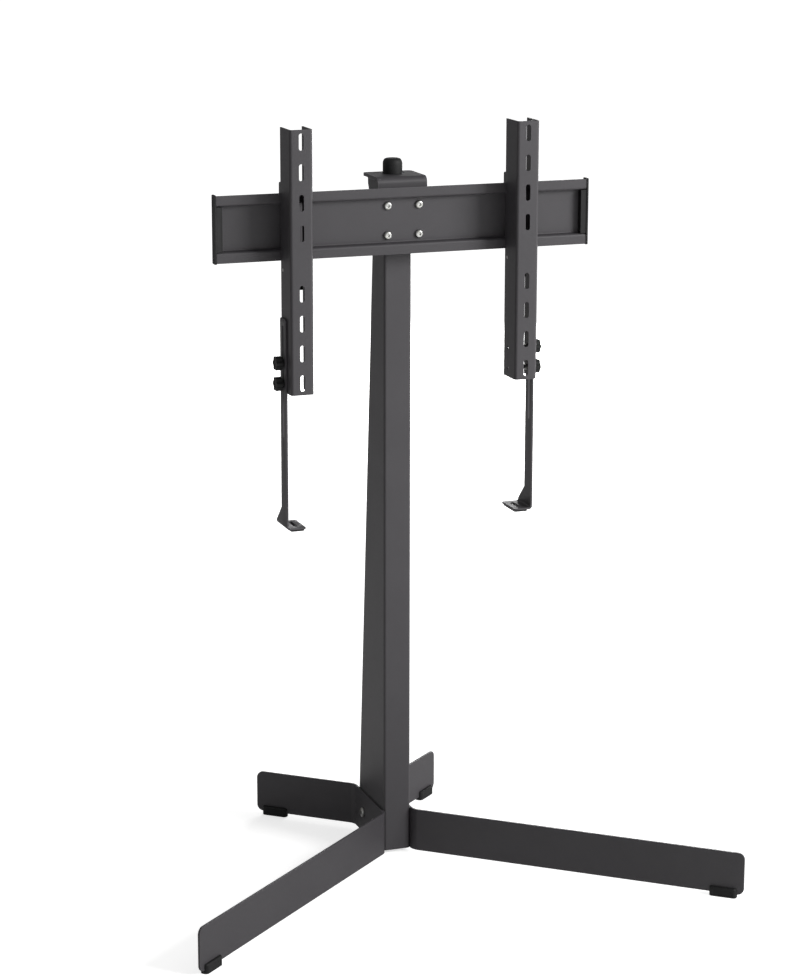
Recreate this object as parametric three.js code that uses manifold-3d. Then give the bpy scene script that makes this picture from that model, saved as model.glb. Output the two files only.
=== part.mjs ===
// A floor stand with a mount: a folded steel column on two bent base plates,
// with a swivel head, a crossbar, two hook-on arms and two hanging brackets.
// Millimetres. X runs to the right, Y to the back and Z up, and the stand faces -Y.

import * as THREE from "three";
import { mergeVertices } from "three/addons/utils/BufferGeometryUtils.js";
import Module from "manifold-3d";

// Fits, cutters and facets
const seatGap = 0.3;
const overrun = 2;
const weldReach = 0.0001;
const roundSides = 24;
const smallSides = 12;
const bendSteps = 5;
const cornerSteps = 4;
const slotSteps = 3;

// Column
const columnWidth = 49;
const columnHeight = 1194;
const columnFootDepth = 141.6;
const columnTopDepth = 54;
const columnWall = 2.5;
const columnBend = 3;
const columnLip = 12;

// Base plates and their legs
const plateThickness = 4;
const plateHeight = 76;
const plateBend = 20;
const plateCorner = 12;
const frontLegLength = 605;
const rearLegLength = 195;
const legAngle = THREE.MathUtils.degToRad(49);

// Foot pads
const padSole = 5.7;
const padLength = 48;
const padWidth = 15;
const padHeight = 17;
const padSetback = 12;
const padRound = 3.5;

// Foot block and the bolts that clamp the base plates to it
const footBlockHeight = 60;
const footBlockWall = 6;
const footBossDiameter = 20;
const footBossLength = 14;
const baseBoltSetback = 40;
const baseBoltHeight = 38;
const baseBoltMargin = 19;
const baseBolt = { head: 18, crown: 4, shank: 10, length: 22, socket: 6, socketDepth: 2.6 };

// Cable cover on the back of the column
const coverInset = 2;
const coverThickness = 2;
const coverEdge = 0.8;
const coverFloorGap = 2;
const coverHeadGap = 40;
const coverLegThickness = 2;
const coverBarb = 1;
const coverBarbLength = 4;
const cableHoleMargin = 1.7;
const cableHoleLength = 50;
const cableHoleAboveBlock = 48;

// Head block, pivot pin and what turns on it
const headBlockLength = 100;
const headFlange = 4;
const headScrewSpacing = 28;
const headScrew = { head: 12, crown: 3.3, shank: 6, length: 12, socket: 4, socketDepth: 2 };
const pivotDiameter = 20;
const pivotThread = 16;
const pivotFloor = 24;
const pivotTip = 3;
const pivotChamfer = 1.5;
const frictionWasherThickness = 2;
const bushWall = 3;
const bushFlangeDiameter = 29;
const bushFlange = 2;
const discWasherDiameter = 27;
const discWasherThickness = 2.2;
const discWasherDish = 0.8;
const nutWidth = 24;
const nutHeight = 13;
const capWall = 2;
const capTip = 3;
const stopPinDiameter = 5;
const stopSlotWall = 3.6;
const stopPinDepth = 14;
const swivelLimit = THREE.MathUtils.degToRad(30);

// Yoke
const yokeThickness = 5;
const yokeBend = 8;
const yokeClear = 8.5;
const yokeTail = 30;
const yokeEdge = 2;
const yokeFlare = 14;
const yokeShoulder = 24;
const yokeScrewMargin = 25;
const yokeCorner = 8;
const gussetThickness = 4;
const gussetClear = 1.5;
const gussetStop = 22;
const gussetRun = 52;
const gussetNose = 10;

// Crossbar
const crossbarMargin = 10;
const crossbarHeight = 80;
const crossbarDepth = 15;
const crossbarWall = 2.5;
const crossbarBend = 3.5;
const crossbarLip = 16;
const crossbarDrop = 60;
const crossbarScrewPitchX = 56;
const crossbarScrewMargin = 15;
const crossbarScrew = { head: 14, crown: 4.4, shank: 8, length: 10, socket: 5, socketDepth: 2.4 };
const endCapThickness = 3;
const endCapProud = 1.2;
const endCapPlug = 10;
const endCapCorner = 2.5;

// Arms that hook on the crossbar, with their rows of slots
const armSpacing = 400;
const armTravel = 100;
const armEndMargin = 20;
const armWidth = 40;
const armDepth = 51.4;
const armWall = 2.5;
const armBend = 3.5;
const screenDrop = 55;
const screenSlotWidth = 8.4;
const screenSlotLength = 28;
const screenSlotPitch = 50;
const screenSlotPairs = 4;
const hookHeight = 18;
const hookRoot = 14;
const hookFingerDrop = 9;
const hookCorner = 4;

// Latch at the lower lip of the crossbar
const latchPinDiameter = 6;
const latchPinDrop = 14;
const latchPinSetback = 9.4;
const latchWidth = 24;
const latchHub = 16;
const latchFingerRise = 10;
const latchBeam = 9;
const latchHandleLength = 34;
const latchHandleWidth = 7;
const latchHandleOffset = 6;
const latchCorner = 2;

// Hanging brackets and the pads under their tabs
const bracketThickness = 3;
const bracketBend = 4.5;
const bracketStripWidth = 30;
const bracketTabWidth = 34;
const bracketTabDepth = 57.5;
const bracketTabSlotWidth = 6.4;
const bracketTabSlotLength = 34;
const bracketReach = 160;
const bracketUp = 90;
const bracketDown = 60;
const bracketSlotMargin = 12;
const bracketCorner = 5;
const tabPadThickness = 3;
const tabPadInset = 2;
const tabPadCorner = 3;

// Star knobs that clamp the brackets to the arms, and their nuts
const knobSetback = 16.4;
const knobMargin = 15;
const knobPitch = 35;
const knobDiameter = 24;
const knobThickness = 11;
const knobCollarDiameter = 14;
const knobCollar = 3;
const knobLobes = 6;
const knobLobeDepth = 2.2;
const knobStud = 6;
const knobStudTip = 2;
const knobNutWidth = 10;
const knobNutHeight = 5;

// Shares of a piece's own size
const headDomeShares = [[1, 0.5], [0.8, 0.92]];
const capDomeShares = [[1, 0.65], [0.93, 0.86], [0.7, 1]];
const hookFingerShare = 0.6;
const latchFingerShare = 0.5;
const pinChamferShare = 0.12;
const nutChamferShare = 0.12;

// Places worked out from the sizes above
const plateBottom = padSole + seatGap;
const columnTop = plateBottom + columnHeight;
const columnTaper = (columnFootDepth - columnTopDepth) / columnHeight;
const columnLean = Math.atan(columnTaper);
const innerHalfWidth = columnWidth / 2 - columnWall;
const innerTopDepth = columnTopDepth - 2 * columnWall;
const axisY = columnTopDepth / 2;
const plateOffset = columnWidth / 2 + seatGap + plateThickness / 2;
const bendTangent = plateBend * Math.tan(legAngle / 2);
const baseBoltMiddle = columnFootDepth / 2;
const baseBoltSpacing = columnFootDepth - 2 * baseBoltSetback;
const footBlockLength = baseBoltSpacing + 2 * baseBoltMargin;
const footBlockWidth = 2 * (innerHalfWidth - seatGap);
const coverLegOutside = columnWidth / 2 - columnLip - seatGap;
const coverLegInside = coverLegOutside - coverLegThickness;
const columnCornerReach = Math.hypot(columnWidth / 2, axisY);
const pivotDepth = headBlockLength + seatGap + headFlange - pivotFloor;
const headBottom = columnTop - headBlockLength;
const headTop = columnTop + seatGap + headFlange;
const washerBottom = headTop + seatGap;
const yokeBottom = washerBottom + frictionWasherThickness + seatGap;
const yokeTop = yokeBottom + yokeThickness;
const bushFlangeTop = yokeTop + seatGap + bushFlange;
const discWasherBottom = bushFlangeTop + seatGap;
const nutBottom = discWasherBottom + discWasherThickness + seatGap;
const nutTop = nutBottom + nutHeight;
const pivotTop = nutTop + pivotTip;
const pivotShoulder = bushFlangeTop - bushFlange / 2;
const bushDiameter = pivotDiameter + 2 * seatGap + 2 * bushWall;
const stopSlotHalf = stopPinDiameter / 2 + seatGap;
const stopPinRadius = bushDiameter / 2 + seatGap + stopSlotWall + stopSlotHalf;
const frictionWasherDiameter = 2 * (stopPinRadius - stopSlotHalf - seatGap);
const yokeReach = columnCornerReach + yokeClear;
const gussetInside = columnCornerReach + gussetClear;
const yokeTopWidth = 2 * (gussetInside + gussetThickness + yokeEdge);
const yokeFrontWidth = yokeTopWidth + 2 * yokeFlare;
const crossbarMiddle = columnTop - crossbarDrop;
const crossbarScrewPitchZ = crossbarHeight - 2 * crossbarScrewMargin;
const yokeFrontHeight = yokeTop - crossbarMiddle + crossbarScrewPitchZ / 2 + yokeScrewMargin;
const crossbarLength = armSpacing + 2 * armTravel + armWidth + 2 * crossbarMargin;
const crossbarTrough = crossbarDepth - 2 * crossbarWall;
const armLength = 2 * (screenSlotPairs * screenSlotPitch + armEndMargin);
const crossbarBack = -yokeReach - yokeThickness - seatGap;
const crossbarFront = crossbarBack - crossbarDepth;
const upperLipTop = crossbarHeight / 2 + crossbarLip;
const armBack = crossbarFront - seatGap;
const armBottom = crossbarMiddle - screenDrop - armLength / 2;
const lipTopOnArm = crossbarMiddle + upperLipTop - armBottom;
const latchPinHeight = crossbarMiddle - upperLipTop - latchPinDrop - armBottom;
const bracketSlotBottom = knobMargin - bracketUp - knobStud / 2 - seatGap;
const bracketSlotTop = knobMargin + knobPitch + bracketDown + knobStud / 2 + seatGap;
const bracketTop = bracketSlotTop + bracketSlotMargin;
const bracketDrop = bracketReach - bracketSlotBottom;
const bracketBottom = tabPadThickness + seatGap - bracketDrop;
const bracketOutside = armWidth / 2 + seatGap + bracketThickness;
const tabFlatWidth = bracketTabWidth - bracketBend - bracketThickness / 2;
const tabFlatMiddle = bracketOutside - bracketTabWidth + tabFlatWidth / 2;

// Materials
const powderCoat = new THREE.MeshStandardMaterial({ color: "#444447", roughness: 0.55, metalness: 0.2 });
const blackPlastic = new THREE.MeshStandardMaterial({ color: "#1c1b1c", roughness: 0.6, metalness: 0 });
const zincSteel = new THREE.MeshStandardMaterial({ color: "#b9bbbd", roughness: 0.35, metalness: 1 });
const groundSteel = new THREE.MeshStandardMaterial({ color: "#8e9093", roughness: 0.4, metalness: 1 });
const bearingPlastic = new THREE.MeshStandardMaterial({ color: "#d9d5c8", roughness: 0.5, metalness: 0 });
const softRubber = new THREE.MeshStandardMaterial({ color: "#161616", roughness: 0.9, metalness: 0 });

const wasm = await Module();
wasm.setup();

// A closed geometry as a solid that can be cut and joined.
function solidOf(geometry) {
  const bare = geometry.clone();
  bare.deleteAttribute("normal");
  bare.deleteAttribute("uv");
  const welded = mergeVertices(bare, weldReach);
  const corners = welded.index.array;
  const kept = [];
  for (let i = 0; i < corners.length; i += 3) {
    const [a, b, c] = [corners[i], corners[i + 1], corners[i + 2]];
    if (a !== b && b !== c && c !== a) kept.push(a, b, c);
  }
  const vertProperties = new Float32Array(welded.attributes.position.array);
  const triVerts = new Uint32Array(kept);
  return new wasm.Manifold(new wasm.Mesh({ numProp: 3, vertProperties, triVerts }));
}

function geometryOf(solid) {
  const mesh = solid.getMesh();
  const geometry = new THREE.BufferGeometry();
  geometry.setAttribute("position", new THREE.BufferAttribute(mesh.vertProperties, 3));
  geometry.setIndex(new THREE.BufferAttribute(mesh.triVerts, 1));
  geometry.computeVertexNormals();
  return geometry;
}

function cut(body, ...tools) {
  const left = tools.reduce((solid, tool) => solid.subtract(solidOf(tool)), solidOf(body));
  return geometryOf(left);
}

function join(body, ...others) {
  const whole = others.reduce((solid, other) => solid.add(solidOf(other)), solidOf(body));
  return geometryOf(whole);
}

function common(body, other) {
  return geometryOf(solidOf(body).intersect(solidOf(other)));
}

// An outline raised along +Z from zero.
function prism(outline, height) {
  return new THREE.ExtrudeGeometry(outline, { depth: height, bevelEnabled: false, curveSegments: 1 });
}

// Turns a shape drawn in X and Y, and raised along Z, so that it is drawn in Y and Z and runs along X.
function alongX(geometry) {
  return geometry.rotateX(Math.PI / 2).rotateZ(Math.PI / 2);
}

// Turns a shape drawn in X and Y, and raised along Z, so that it is drawn in X and Z and runs along -Y.
function alongFront(geometry) {
  return geometry.rotateX(Math.PI / 2);
}

function rod(diameter, length, sides = roundSides) {
  const geometry = new THREE.CylinderGeometry(diameter / 2, diameter / 2, length, sides);
  return geometry.rotateX(Math.PI / 2).translate(0, 0, length / 2);
}

// A hexagonal bar, measured across its flats.
function hexBar(acrossFlats, length) {
  return rod(acrossFlats / Math.cos(Math.PI / 6), length, 6);
}

// A closed profile of radius and height pairs, turned about Z.
function turned(profile, sides = roundSides) {
  const points = profile.map(([radius, height]) => new THREE.Vector2(radius, height));
  points.push(points[0].clone());
  return new THREE.LatheGeometry(points, sides).rotateX(Math.PI / 2);
}

// Points on the arc that rounds the corner at b, on the way from a to c.
function arcPoints(a, b, c, radius, steps) {
  const toA = a.clone().sub(b).normalize();
  const toC = c.clone().sub(b).normalize();
  const halfAngle = Math.acos(THREE.MathUtils.clamp(toA.dot(toC), -1, 1)) / 2;
  const middle = toA.clone().add(toC).normalize().multiplyScalar(radius / Math.sin(halfAngle)).add(b);
  const start = toA.multiplyScalar(radius / Math.tan(halfAngle)).add(b).sub(middle);
  const end = toC.multiplyScalar(radius / Math.tan(halfAngle)).add(b).sub(middle);
  const sweep = Math.atan2(start.cross(end), start.dot(end));
  const points = [];
  for (let step = 0; step <= steps; step += 1) {
    const turn = (sweep * step) / steps;
    points.push(start.clone().rotateAround(new THREE.Vector2(), turn).add(middle));
  }
  return points;
}

// A closed outline whose corners are [x, y] or, where they are rounded, [x, y, radius].
function outlineOf(corners, steps = cornerSteps) {
  const points = corners.map(([x, y]) => new THREE.Vector2(x, y));
  const outline = [];
  corners.forEach(([, , radius = 0], i) => {
    const before = points.at(i - 1);
    const after = points[(i + 1) % points.length];
    if (radius > 0) outline.push(...arcPoints(before, points[i], after, radius, steps));
    else outline.push(points[i]);
  });
  return new THREE.Shape(outline);
}

// The outline of a folded sheet, from the line along the middle of its thickness.
function sheetOutline(line, thickness, bend) {
  const points = line.map(([x, y]) => new THREE.Vector2(x, y));
  const middle = [points[0]];
  for (let i = 1; i < points.length - 1; i += 1) {
    middle.push(...arcPoints(points[i - 1], points[i], points[i + 1], bend, bendSteps));
  }
  middle.push(points.at(-1));
  const sides = [[], []];
  middle.forEach((point, i) => {
    const before = middle[Math.max(i - 1, 0)];
    const after = middle[Math.min(i + 1, middle.length - 1)];
    const into = point.clone().sub(before).normalize();
    const out = after.clone().sub(point).normalize();
    const along = into.clone().add(out).normalize();
    const normal = new THREE.Vector2(-along.y, along.x);
    const straightness = Math.max(into.lengthSq() ? along.dot(into) : 1, out.lengthSq() ? along.dot(out) : 1);
    const half = thickness / 2 / straightness;
    sides[0].push(point.clone().addScaledVector(normal, half));
    sides[1].push(point.clone().addScaledVector(normal, -half));
  });
  return new THREE.Shape([...sides[0], ...sides[1].reverse()]);
}

// An upright slot with round ends, centred on the origin.
function slotOutline(width, length) {
  const x = width / 2;
  const y = length / 2;
  const radius = x - weldReach;
  return outlineOf([[-x, -y, radius], [x, -y, radius], [x, y, radius], [-x, y, radius]], slotSteps);
}

function rectangle(width, length, radius = 0) {
  const x = width / 2;
  const y = length / 2;
  return outlineOf([[-x, -y, radius], [x, -y, radius], [x, y, radius], [-x, y, radius]]);
}

// A round-headed screw with a hexagon socket. Its head stands on z = 0 and its shank runs down.
function screwGeometry({ head, crown, shank, length, socket, socketDepth }) {
  const profile = [
    [0, -length],
    [shank / 2, -length],
    [shank / 2, 0],
    [head / 2, 0],
    ...headDomeShares.map(([across, up]) => [(across * head) / 2, up * crown]),
    [0, crown],
  ];
  const key = hexBar(socket, socketDepth + overrun).translate(0, 0, crown - socketDepth);
  return cut(turned(profile, smallSides), key);
}

// A hexagon nut standing on z = 0, with both ends turned off at a slope.
function nutGeometry(acrossFlats, height, bore) {
  const reach = acrossFlats / 2 / Math.cos(Math.PI / 6);
  const chamfer = reach * nutChamferShare;
  const profile = [
    [0, 0],
    [reach - chamfer, 0],
    [reach, chamfer],
    [reach, height - chamfer],
    [reach - chamfer, height],
    [0, height],
  ];
  const blank = common(hexBar(acrossFlats, height), turned(profile));
  return cut(blank, rod(bore, height + 2 * overrun).translate(0, 0, -overrun));
}

// A flat ring standing on z = 0.
function ringGeometry(outer, inner, height) {
  return turned([[inner / 2, 0], [outer / 2, 0], [outer / 2, height], [inner / 2, height]]);
}

// Column

function columnBackAt(z) {
  return columnFootDepth - columnTaper * (z - plateBottom);
}

// Moves the back of an upright piece forward with height, as the back edge of the column does.
function taperBack(geometry) {
  const places = geometry.attributes.position;
  for (let i = 0; i < places.count; i += 1) {
    const isBack = places.getY(i) > columnFootDepth / 2;
    if (isBack) places.setY(i, places.getY(i) - columnTaper * places.getZ(i));
  }
  return geometry;
}

function columnGeometry() {
  const side = columnWidth / 2 - columnWall / 2;
  const front = columnWall / 2;
  const back = columnFootDepth - columnWall / 2;
  const lipEnd = columnWidth / 2 - columnLip;
  const line = [[-lipEnd, back], [-side, back], [-side, front], [side, front], [side, back], [lipEnd, back]];
  const shell = taperBack(prism(sheetOutline(line, columnWall, columnBend), columnHeight));
  const bores = [];
  for (const y of baseBoltRows()) {
    bores.push(crossBore(baseBolt.shank + 2 * seatGap, y, baseBoltHeight));
  }
  for (const y of headScrewRows()) {
    bores.push(crossBore(headScrew.shank + 2 * seatGap, y, columnHeight - headBlockLength / 2));
  }
  return cut(shell, ...bores);
}

// A bore along X right through the column.
function crossBore(diameter, y, z) {
  const length = columnWidth + 2 * overrun;
  return alongX(rod(diameter, length, smallSides)).translate(-length / 2, y, z);
}

function baseBoltRows() {
  return [baseBoltMiddle - baseBoltSpacing / 2, baseBoltMiddle + baseBoltSpacing / 2];
}

function headScrewRows() {
  return [axisY - headScrewSpacing / 2, axisY + headScrewSpacing / 2];
}

// A tube with an upright opening and four threaded bosses, inside the foot of the column.
function footBlockGeometry() {
  const outer = prism(rectangle(footBlockWidth, footBlockLength), footBlockHeight);
  const openWidth = footBlockWidth - 2 * footBlockWall;
  const openLength = footBlockLength - 2 * footBlockWall;
  const opening = prism(rectangle(openWidth, openLength), footBlockHeight + 2 * overrun);
  const frame = cut(outer, opening.translate(0, 0, -overrun));
  const bosses = [];
  const bores = [];
  const boreHeight = baseBoltHeight - (plateHeight - footBlockHeight) / 2;
  for (const y of baseBoltRows()) {
    const place = [y - baseBoltMiddle, boreHeight];
    const bore = alongX(rod(baseBolt.shank + 2 * seatGap, footBlockWidth + 2 * overrun, smallSides));
    bores.push(bore.translate(-footBlockWidth / 2 - overrun, ...place));
    for (const start of [-footBlockWidth / 2, footBlockWidth / 2 - footBossLength]) {
      bosses.push(alongX(rod(footBossDiameter, footBossLength, smallSides)).translate(start, ...place));
    }
  }
  return cut(join(frame, ...bosses), ...bores);
}

// A snap-on strip over the open back of the column. Its panel lies on y = 0 and its legs point to -Y.
function coverGeometry() {
  const length = coverLength();
  const x = columnWidth / 2 - coverInset;
  const panel = prism(
    outlineOf([[-x, 0], [x, 0], [x, coverThickness, coverEdge], [-x, coverThickness, coverEdge]]),
    length,
  );
  const legs = [-1, 1].map((side) => coverLegGeometry(side, length));
  const holeWidth = 2 * (coverLegInside - cableHoleMargin);
  const hole = prism(slotOutline(holeWidth, cableHoleLength), coverThickness + 2 * overrun);
  const holeHeight = cableHoleHeight();
  return cut(join(panel, ...legs), alongFront(hole).translate(0, coverThickness + overrun, holeHeight));
}

function coverLegGeometry(side, length) {
  const barbTop = -columnWall - 2 * seatGap;
  const legEnd = barbTop - coverBarbLength;
  const corners = [
    [coverLegInside, coverThickness / 2],
    [coverLegInside, legEnd],
    [coverLegOutside, legEnd],
    [coverLegOutside + coverBarb, barbTop],
    [coverLegOutside, barbTop],
    [coverLegOutside, coverThickness / 2],
  ];
  return prism(outlineOf(corners.map(([x, y]) => [side * x, y])), length);
}

function coverLength() {
  return (columnHeight - headBlockLength - coverHeadGap - coverFloorGap) / Math.cos(columnLean);
}

function cableHoleHeight() {
  const blockTop = (plateHeight + footBlockHeight) / 2;
  return (blockTop + cableHoleAboveBlock - coverFloorGap) / Math.cos(columnLean);
}

// Base

function legCornerY(end) {
  return end > 0 ? columnFootDepth + bendTangent : -bendTangent;
}

function legLength(end) {
  return end > 0 ? rearLegLength : frontLegLength;
}

// A point on the middle line of a leg, at a distance from the fold. End is 1 at the back, -1 in front.
function legPoint(side, end, distance) {
  const x = side * (plateOffset + distance * Math.sin(legAngle));
  return [x, legCornerY(end) + end * distance * Math.cos(legAngle)];
}

function legHeading(side, end) {
  return Math.atan2(end * Math.cos(legAngle), side * Math.sin(legAngle));
}

// What is cut off to round the top or bottom corner at the tip of a leg.
function legCornerCutter(side, end, level) {
  const depth = plateThickness + 2 * overrun;
  const corners = [
    [-plateCorner, overrun],
    [-plateCorner, 0],
    [0, 0, plateCorner - weldReach],
    [0, -plateCorner],
    [overrun, -plateCorner],
    [overrun, overrun],
  ];
  const outline = outlineOf(corners.map(([x, y, radius]) => [x, level * y, radius]));
  const cutter = alongFront(prism(outline, depth)).translate(0, depth / 2, 0);
  const [x, y] = legPoint(side, end, legLength(end));
  return cutter.rotateZ(legHeading(side, end)).translate(x, y, level > 0 ? plateHeight : 0);
}

function basePlateGeometry(side) {
  const line = [
    legPoint(side, 1, rearLegLength),
    legPoint(side, 1, 0),
    legPoint(side, -1, 0),
    legPoint(side, -1, frontLegLength),
  ];
  const plate = prism(sheetOutline(line, plateThickness, plateBend), plateHeight);
  const tools = [];
  for (const end of [-1, 1]) {
    for (const level of [-1, 1]) tools.push(legCornerCutter(side, end, level));
  }
  for (const y of baseBoltRows()) {
    const length = plateThickness + 2 * overrun;
    const bore = alongX(rod(baseBolt.shank + 2 * seatGap, length, smallSides));
    tools.push(bore.translate(side * plateOffset - length / 2, y, baseBoltHeight));
  }
  return cut(plate, ...tools);
}

// A clip that grips the lower edge of a leg. It runs along X and stands on z = 0.
function padGeometry() {
  const x = padWidth / 2;
  const slot = plateThickness / 2 + seatGap;
  const section = outlineOf([
    [-x, 0],
    [x, 0],
    [x, padHeight, padRound / 2],
    [slot, padHeight],
    [slot, padSole],
    [-slot, padSole],
    [-slot, padHeight],
    [-x, padHeight, padRound / 2],
  ]);
  const sideView = alongFront(prism(rectangle(padLength, padHeight, padRound), padWidth + 2 * overrun));
  const body = alongX(prism(section, padLength)).translate(-padLength / 2, 0, 0);
  return common(body, sideView.translate(0, padWidth / 2 + overrun, padHeight / 2));
}

// Head

// A block that fills the top of the column, with a flange over its rim. The pivot axis is x = y = 0.
function headBlockGeometry() {
  const width = 2 * (innerHalfWidth - seatGap);
  const depth = innerTopDepth - 2 * seatGap;
  const corner = columnBend + columnWall / 2;
  const block = prism(rectangle(width, depth, columnBend), headBlockLength + seatGap + headFlange / 2);
  const flange = prism(rectangle(columnWidth, columnTopDepth, corner), headFlange);
  const body = join(block, flange.translate(0, 0, headBlockLength + seatGap));
  const height = headTop - headBottom;
  const pivotBore = rod(pivotDiameter + 2 * seatGap, pivotDepth + seatGap + overrun);
  const stopBore = rod(stopPinDiameter + 2 * seatGap, stopPinDepth + seatGap + overrun, smallSides);
  const tools = [
    pivotBore.translate(0, 0, height - pivotDepth - seatGap),
    stopBore.translate(0, stopPinRadius, height - stopPinDepth - seatGap),
  ];
  for (const y of headScrewRows()) {
    const bore = alongX(rod(headScrew.shank + 2 * seatGap, headScrew.length + seatGap, smallSides));
    for (const start of [-columnWidth / 2, columnWidth / 2 - headScrew.length - seatGap]) {
      tools.push(bore.clone().translate(start, y - axisY, headBlockLength / 2));
    }
  }
  return cut(body, ...tools);
}

function pivotPinGeometry() {
  const radius = pivotDiameter / 2;
  const shoulder = pivotShoulder - headTop + pivotDepth;
  const height = pivotTop - headTop + pivotDepth;
  return turned([
    [0, 0],
    [radius - pivotChamfer, 0],
    [radius, pivotChamfer],
    [radius, shoulder],
    [pivotThread / 2, shoulder],
    [pivotThread / 2, height - pivotChamfer],
    [pivotThread / 2 - pivotChamfer, height],
    [0, height],
  ]);
}

function stopPinGeometry() {
  const radius = stopPinDiameter / 2;
  const chamfer = stopPinDiameter * pinChamferShare;
  const height = stopPinDepth + yokeTop - headTop;
  const profile = [
    [0, 0],
    [radius - chamfer, 0],
    [radius, chamfer],
    [radius, height - chamfer],
    [radius - chamfer, height],
    [0, height],
  ];
  return turned(profile, smallSides);
}

// A plain sleeve with a flange on top. The flange's underside is z = 0.
function bushGeometry() {
  const bore = pivotDiameter / 2 + seatGap;
  return turned([
    [bore, -yokeThickness],
    [bushDiameter / 2, -yokeThickness],
    [bushDiameter / 2, 0],
    [bushFlangeDiameter / 2, 0],
    [bushFlangeDiameter / 2, bushFlange],
    [bore, bushFlange],
  ]);
}

// A dished spring washer.
function discWasherGeometry() {
  const bore = pivotThread / 2 + seatGap;
  const rim = discWasherDiameter / 2;
  return turned([
    [bore, discWasherDish],
    [rim, 0],
    [rim, discWasherThickness - discWasherDish],
    [bore, discWasherThickness],
  ]);
}

// A domed cap, open below, that covers the nut.
function pivotCapGeometry() {
  const inner = Math.max(nutWidth / Math.cos(Math.PI / 6), bushFlangeDiameter) / 2 + seatGap;
  const outer = inner + capWall;
  const innerTop = pivotTop - yokeTop - seatGap + capTip;
  const outerTop = innerTop + capWall;
  const outside = capDomeShares.map(([across, up]) => [across * outer, up * outerTop]);
  const inside = capDomeShares.map(([across, up]) => [across * inner, up * innerTop]).reverse();
  return turned([[inner, 0], [outer, 0], ...outside, [0, outerTop], [0, innerTop], ...inside]);
}

// The slot that the stop pin runs in, about the pivot axis.
function stopSlotCutter() {
  const reach = swivelLimit + stopSlotHalf / stopPinRadius;
  const steps = 2 * bendSteps;
  const outer = [];
  const inner = [];
  for (let step = 0; step <= steps; step += 1) {
    const turn = Math.PI / 2 - reach + (2 * reach * step) / steps;
    const way = new THREE.Vector2(Math.cos(turn), Math.sin(turn));
    outer.push(way.clone().multiplyScalar(stopPinRadius + stopSlotHalf));
    inner.push(way.multiplyScalar(stopPinRadius - stopSlotHalf));
  }
  return prism(new THREE.Shape([...outer, ...inner.reverse()]), yokeThickness + 2 * overrun);
}

// The bent plate that turns on the pivot and carries the crossbar. Its top plate stands on z = 0.
function yokeGeometry() {
  const middle = yokeThickness / 2;
  const frontLine = -yokeReach - middle;
  const line = [[yokeTail, middle], [frontLine, middle], [frontLine, yokeThickness - yokeFrontHeight]];
  const bent = alongX(prism(sheetOutline(line, yokeThickness, yokeBend), yokeFrontWidth));
  bent.translate(-yokeFrontWidth / 2, 0, 0);
  const topHalf = yokeTopWidth / 2;
  const frontHalf = yokeFrontWidth / 2;
  const topView = prism(
    outlineOf([
      [-topHalf, yokeTail, yokeCorner],
      [-topHalf, -yokeReach - 2 * yokeThickness],
      [topHalf, -yokeReach - 2 * yokeThickness],
      [topHalf, yokeTail, yokeCorner],
    ]),
    yokeFrontHeight + yokeThickness + overrun,
  );
  const frontView = prism(
    outlineOf([
      [-topHalf, yokeThickness + overrun],
      [-topHalf, -yokeShoulder],
      [-frontHalf, -yokeShoulder - (frontHalf - topHalf)],
      [-frontHalf, yokeThickness - yokeFrontHeight, yokeCorner],
      [frontHalf, yokeThickness - yokeFrontHeight, yokeCorner],
      [frontHalf, -yokeShoulder - (frontHalf - topHalf)],
      [topHalf, -yokeShoulder],
      [topHalf, yokeThickness + overrun],
    ]),
    2 * yokeReach + yokeTail,
  );
  const frontPlate = common(bent, alongFront(frontView).translate(0, yokeTail + overrun, 0));
  const wings = alongX(prism(wingOutline(), yokeFrontWidth)).translate(-yokeFrontWidth / 2, 0, 0);
  const trimmed = join(
    common(frontPlate, topView.translate(0, 0, -yokeFrontHeight)),
    common(frontPlate, wings),
  );
  const gussets = [-1, 1].map(gussetGeometry);
  const bushBore = rod(bushDiameter + 2 * seatGap, yokeThickness + 2 * overrun).translate(0, 0, -overrun);
  const tools = [bushBore, stopSlotCutter().translate(0, 0, -overrun)];
  for (const [x, z] of crossbarScrewPlaces()) {
    const bore = alongFront(rod(crossbarScrew.shank + 2 * seatGap, yokeThickness + 2 * overrun, smallSides));
    tools.push(bore.translate(x, overrun - yokeReach, z + crossbarMiddle - yokeBottom));
  }
  return cut(join(trimmed, ...gussets), ...tools);
}

// The side view of the front plate below its shoulders.
function wingOutline() {
  const back = -yokeReach + overrun;
  const front = -yokeReach - yokeThickness - overrun;
  const bottom = -yokeFrontHeight;
  return outlineOf([[back, bottom], [back, -yokeShoulder], [front, -yokeShoulder], [front, bottom]]);
}

// A triangular web between the two plates of the yoke, beside the top of the column.
function gussetGeometry(side) {
  const front = -yokeReach - yokeThickness / 2;
  const top = yokeThickness / 2;
  const bottom = yokeThickness - yokeFrontHeight + gussetStop;
  const outline = outlineOf([
    [front, top],
    [front, bottom],
    [gussetNose - yokeReach, bottom, gussetNose / 2],
    [gussetRun - yokeReach, -gussetNose, gussetNose / 2],
    [gussetRun - yokeReach, top],
  ]);
  const start = side > 0 ? gussetInside : -gussetInside - gussetThickness;
  return alongX(prism(outline, gussetThickness)).translate(start, 0, 0);
}

function crossbarScrewPlaces() {
  const places = [];
  for (const x of [-crossbarScrewPitchX / 2, crossbarScrewPitchX / 2]) {
    for (const z of [-crossbarScrewPitchZ / 2, crossbarScrewPitchZ / 2]) places.push([x, z]);
  }
  return places;
}

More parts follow.
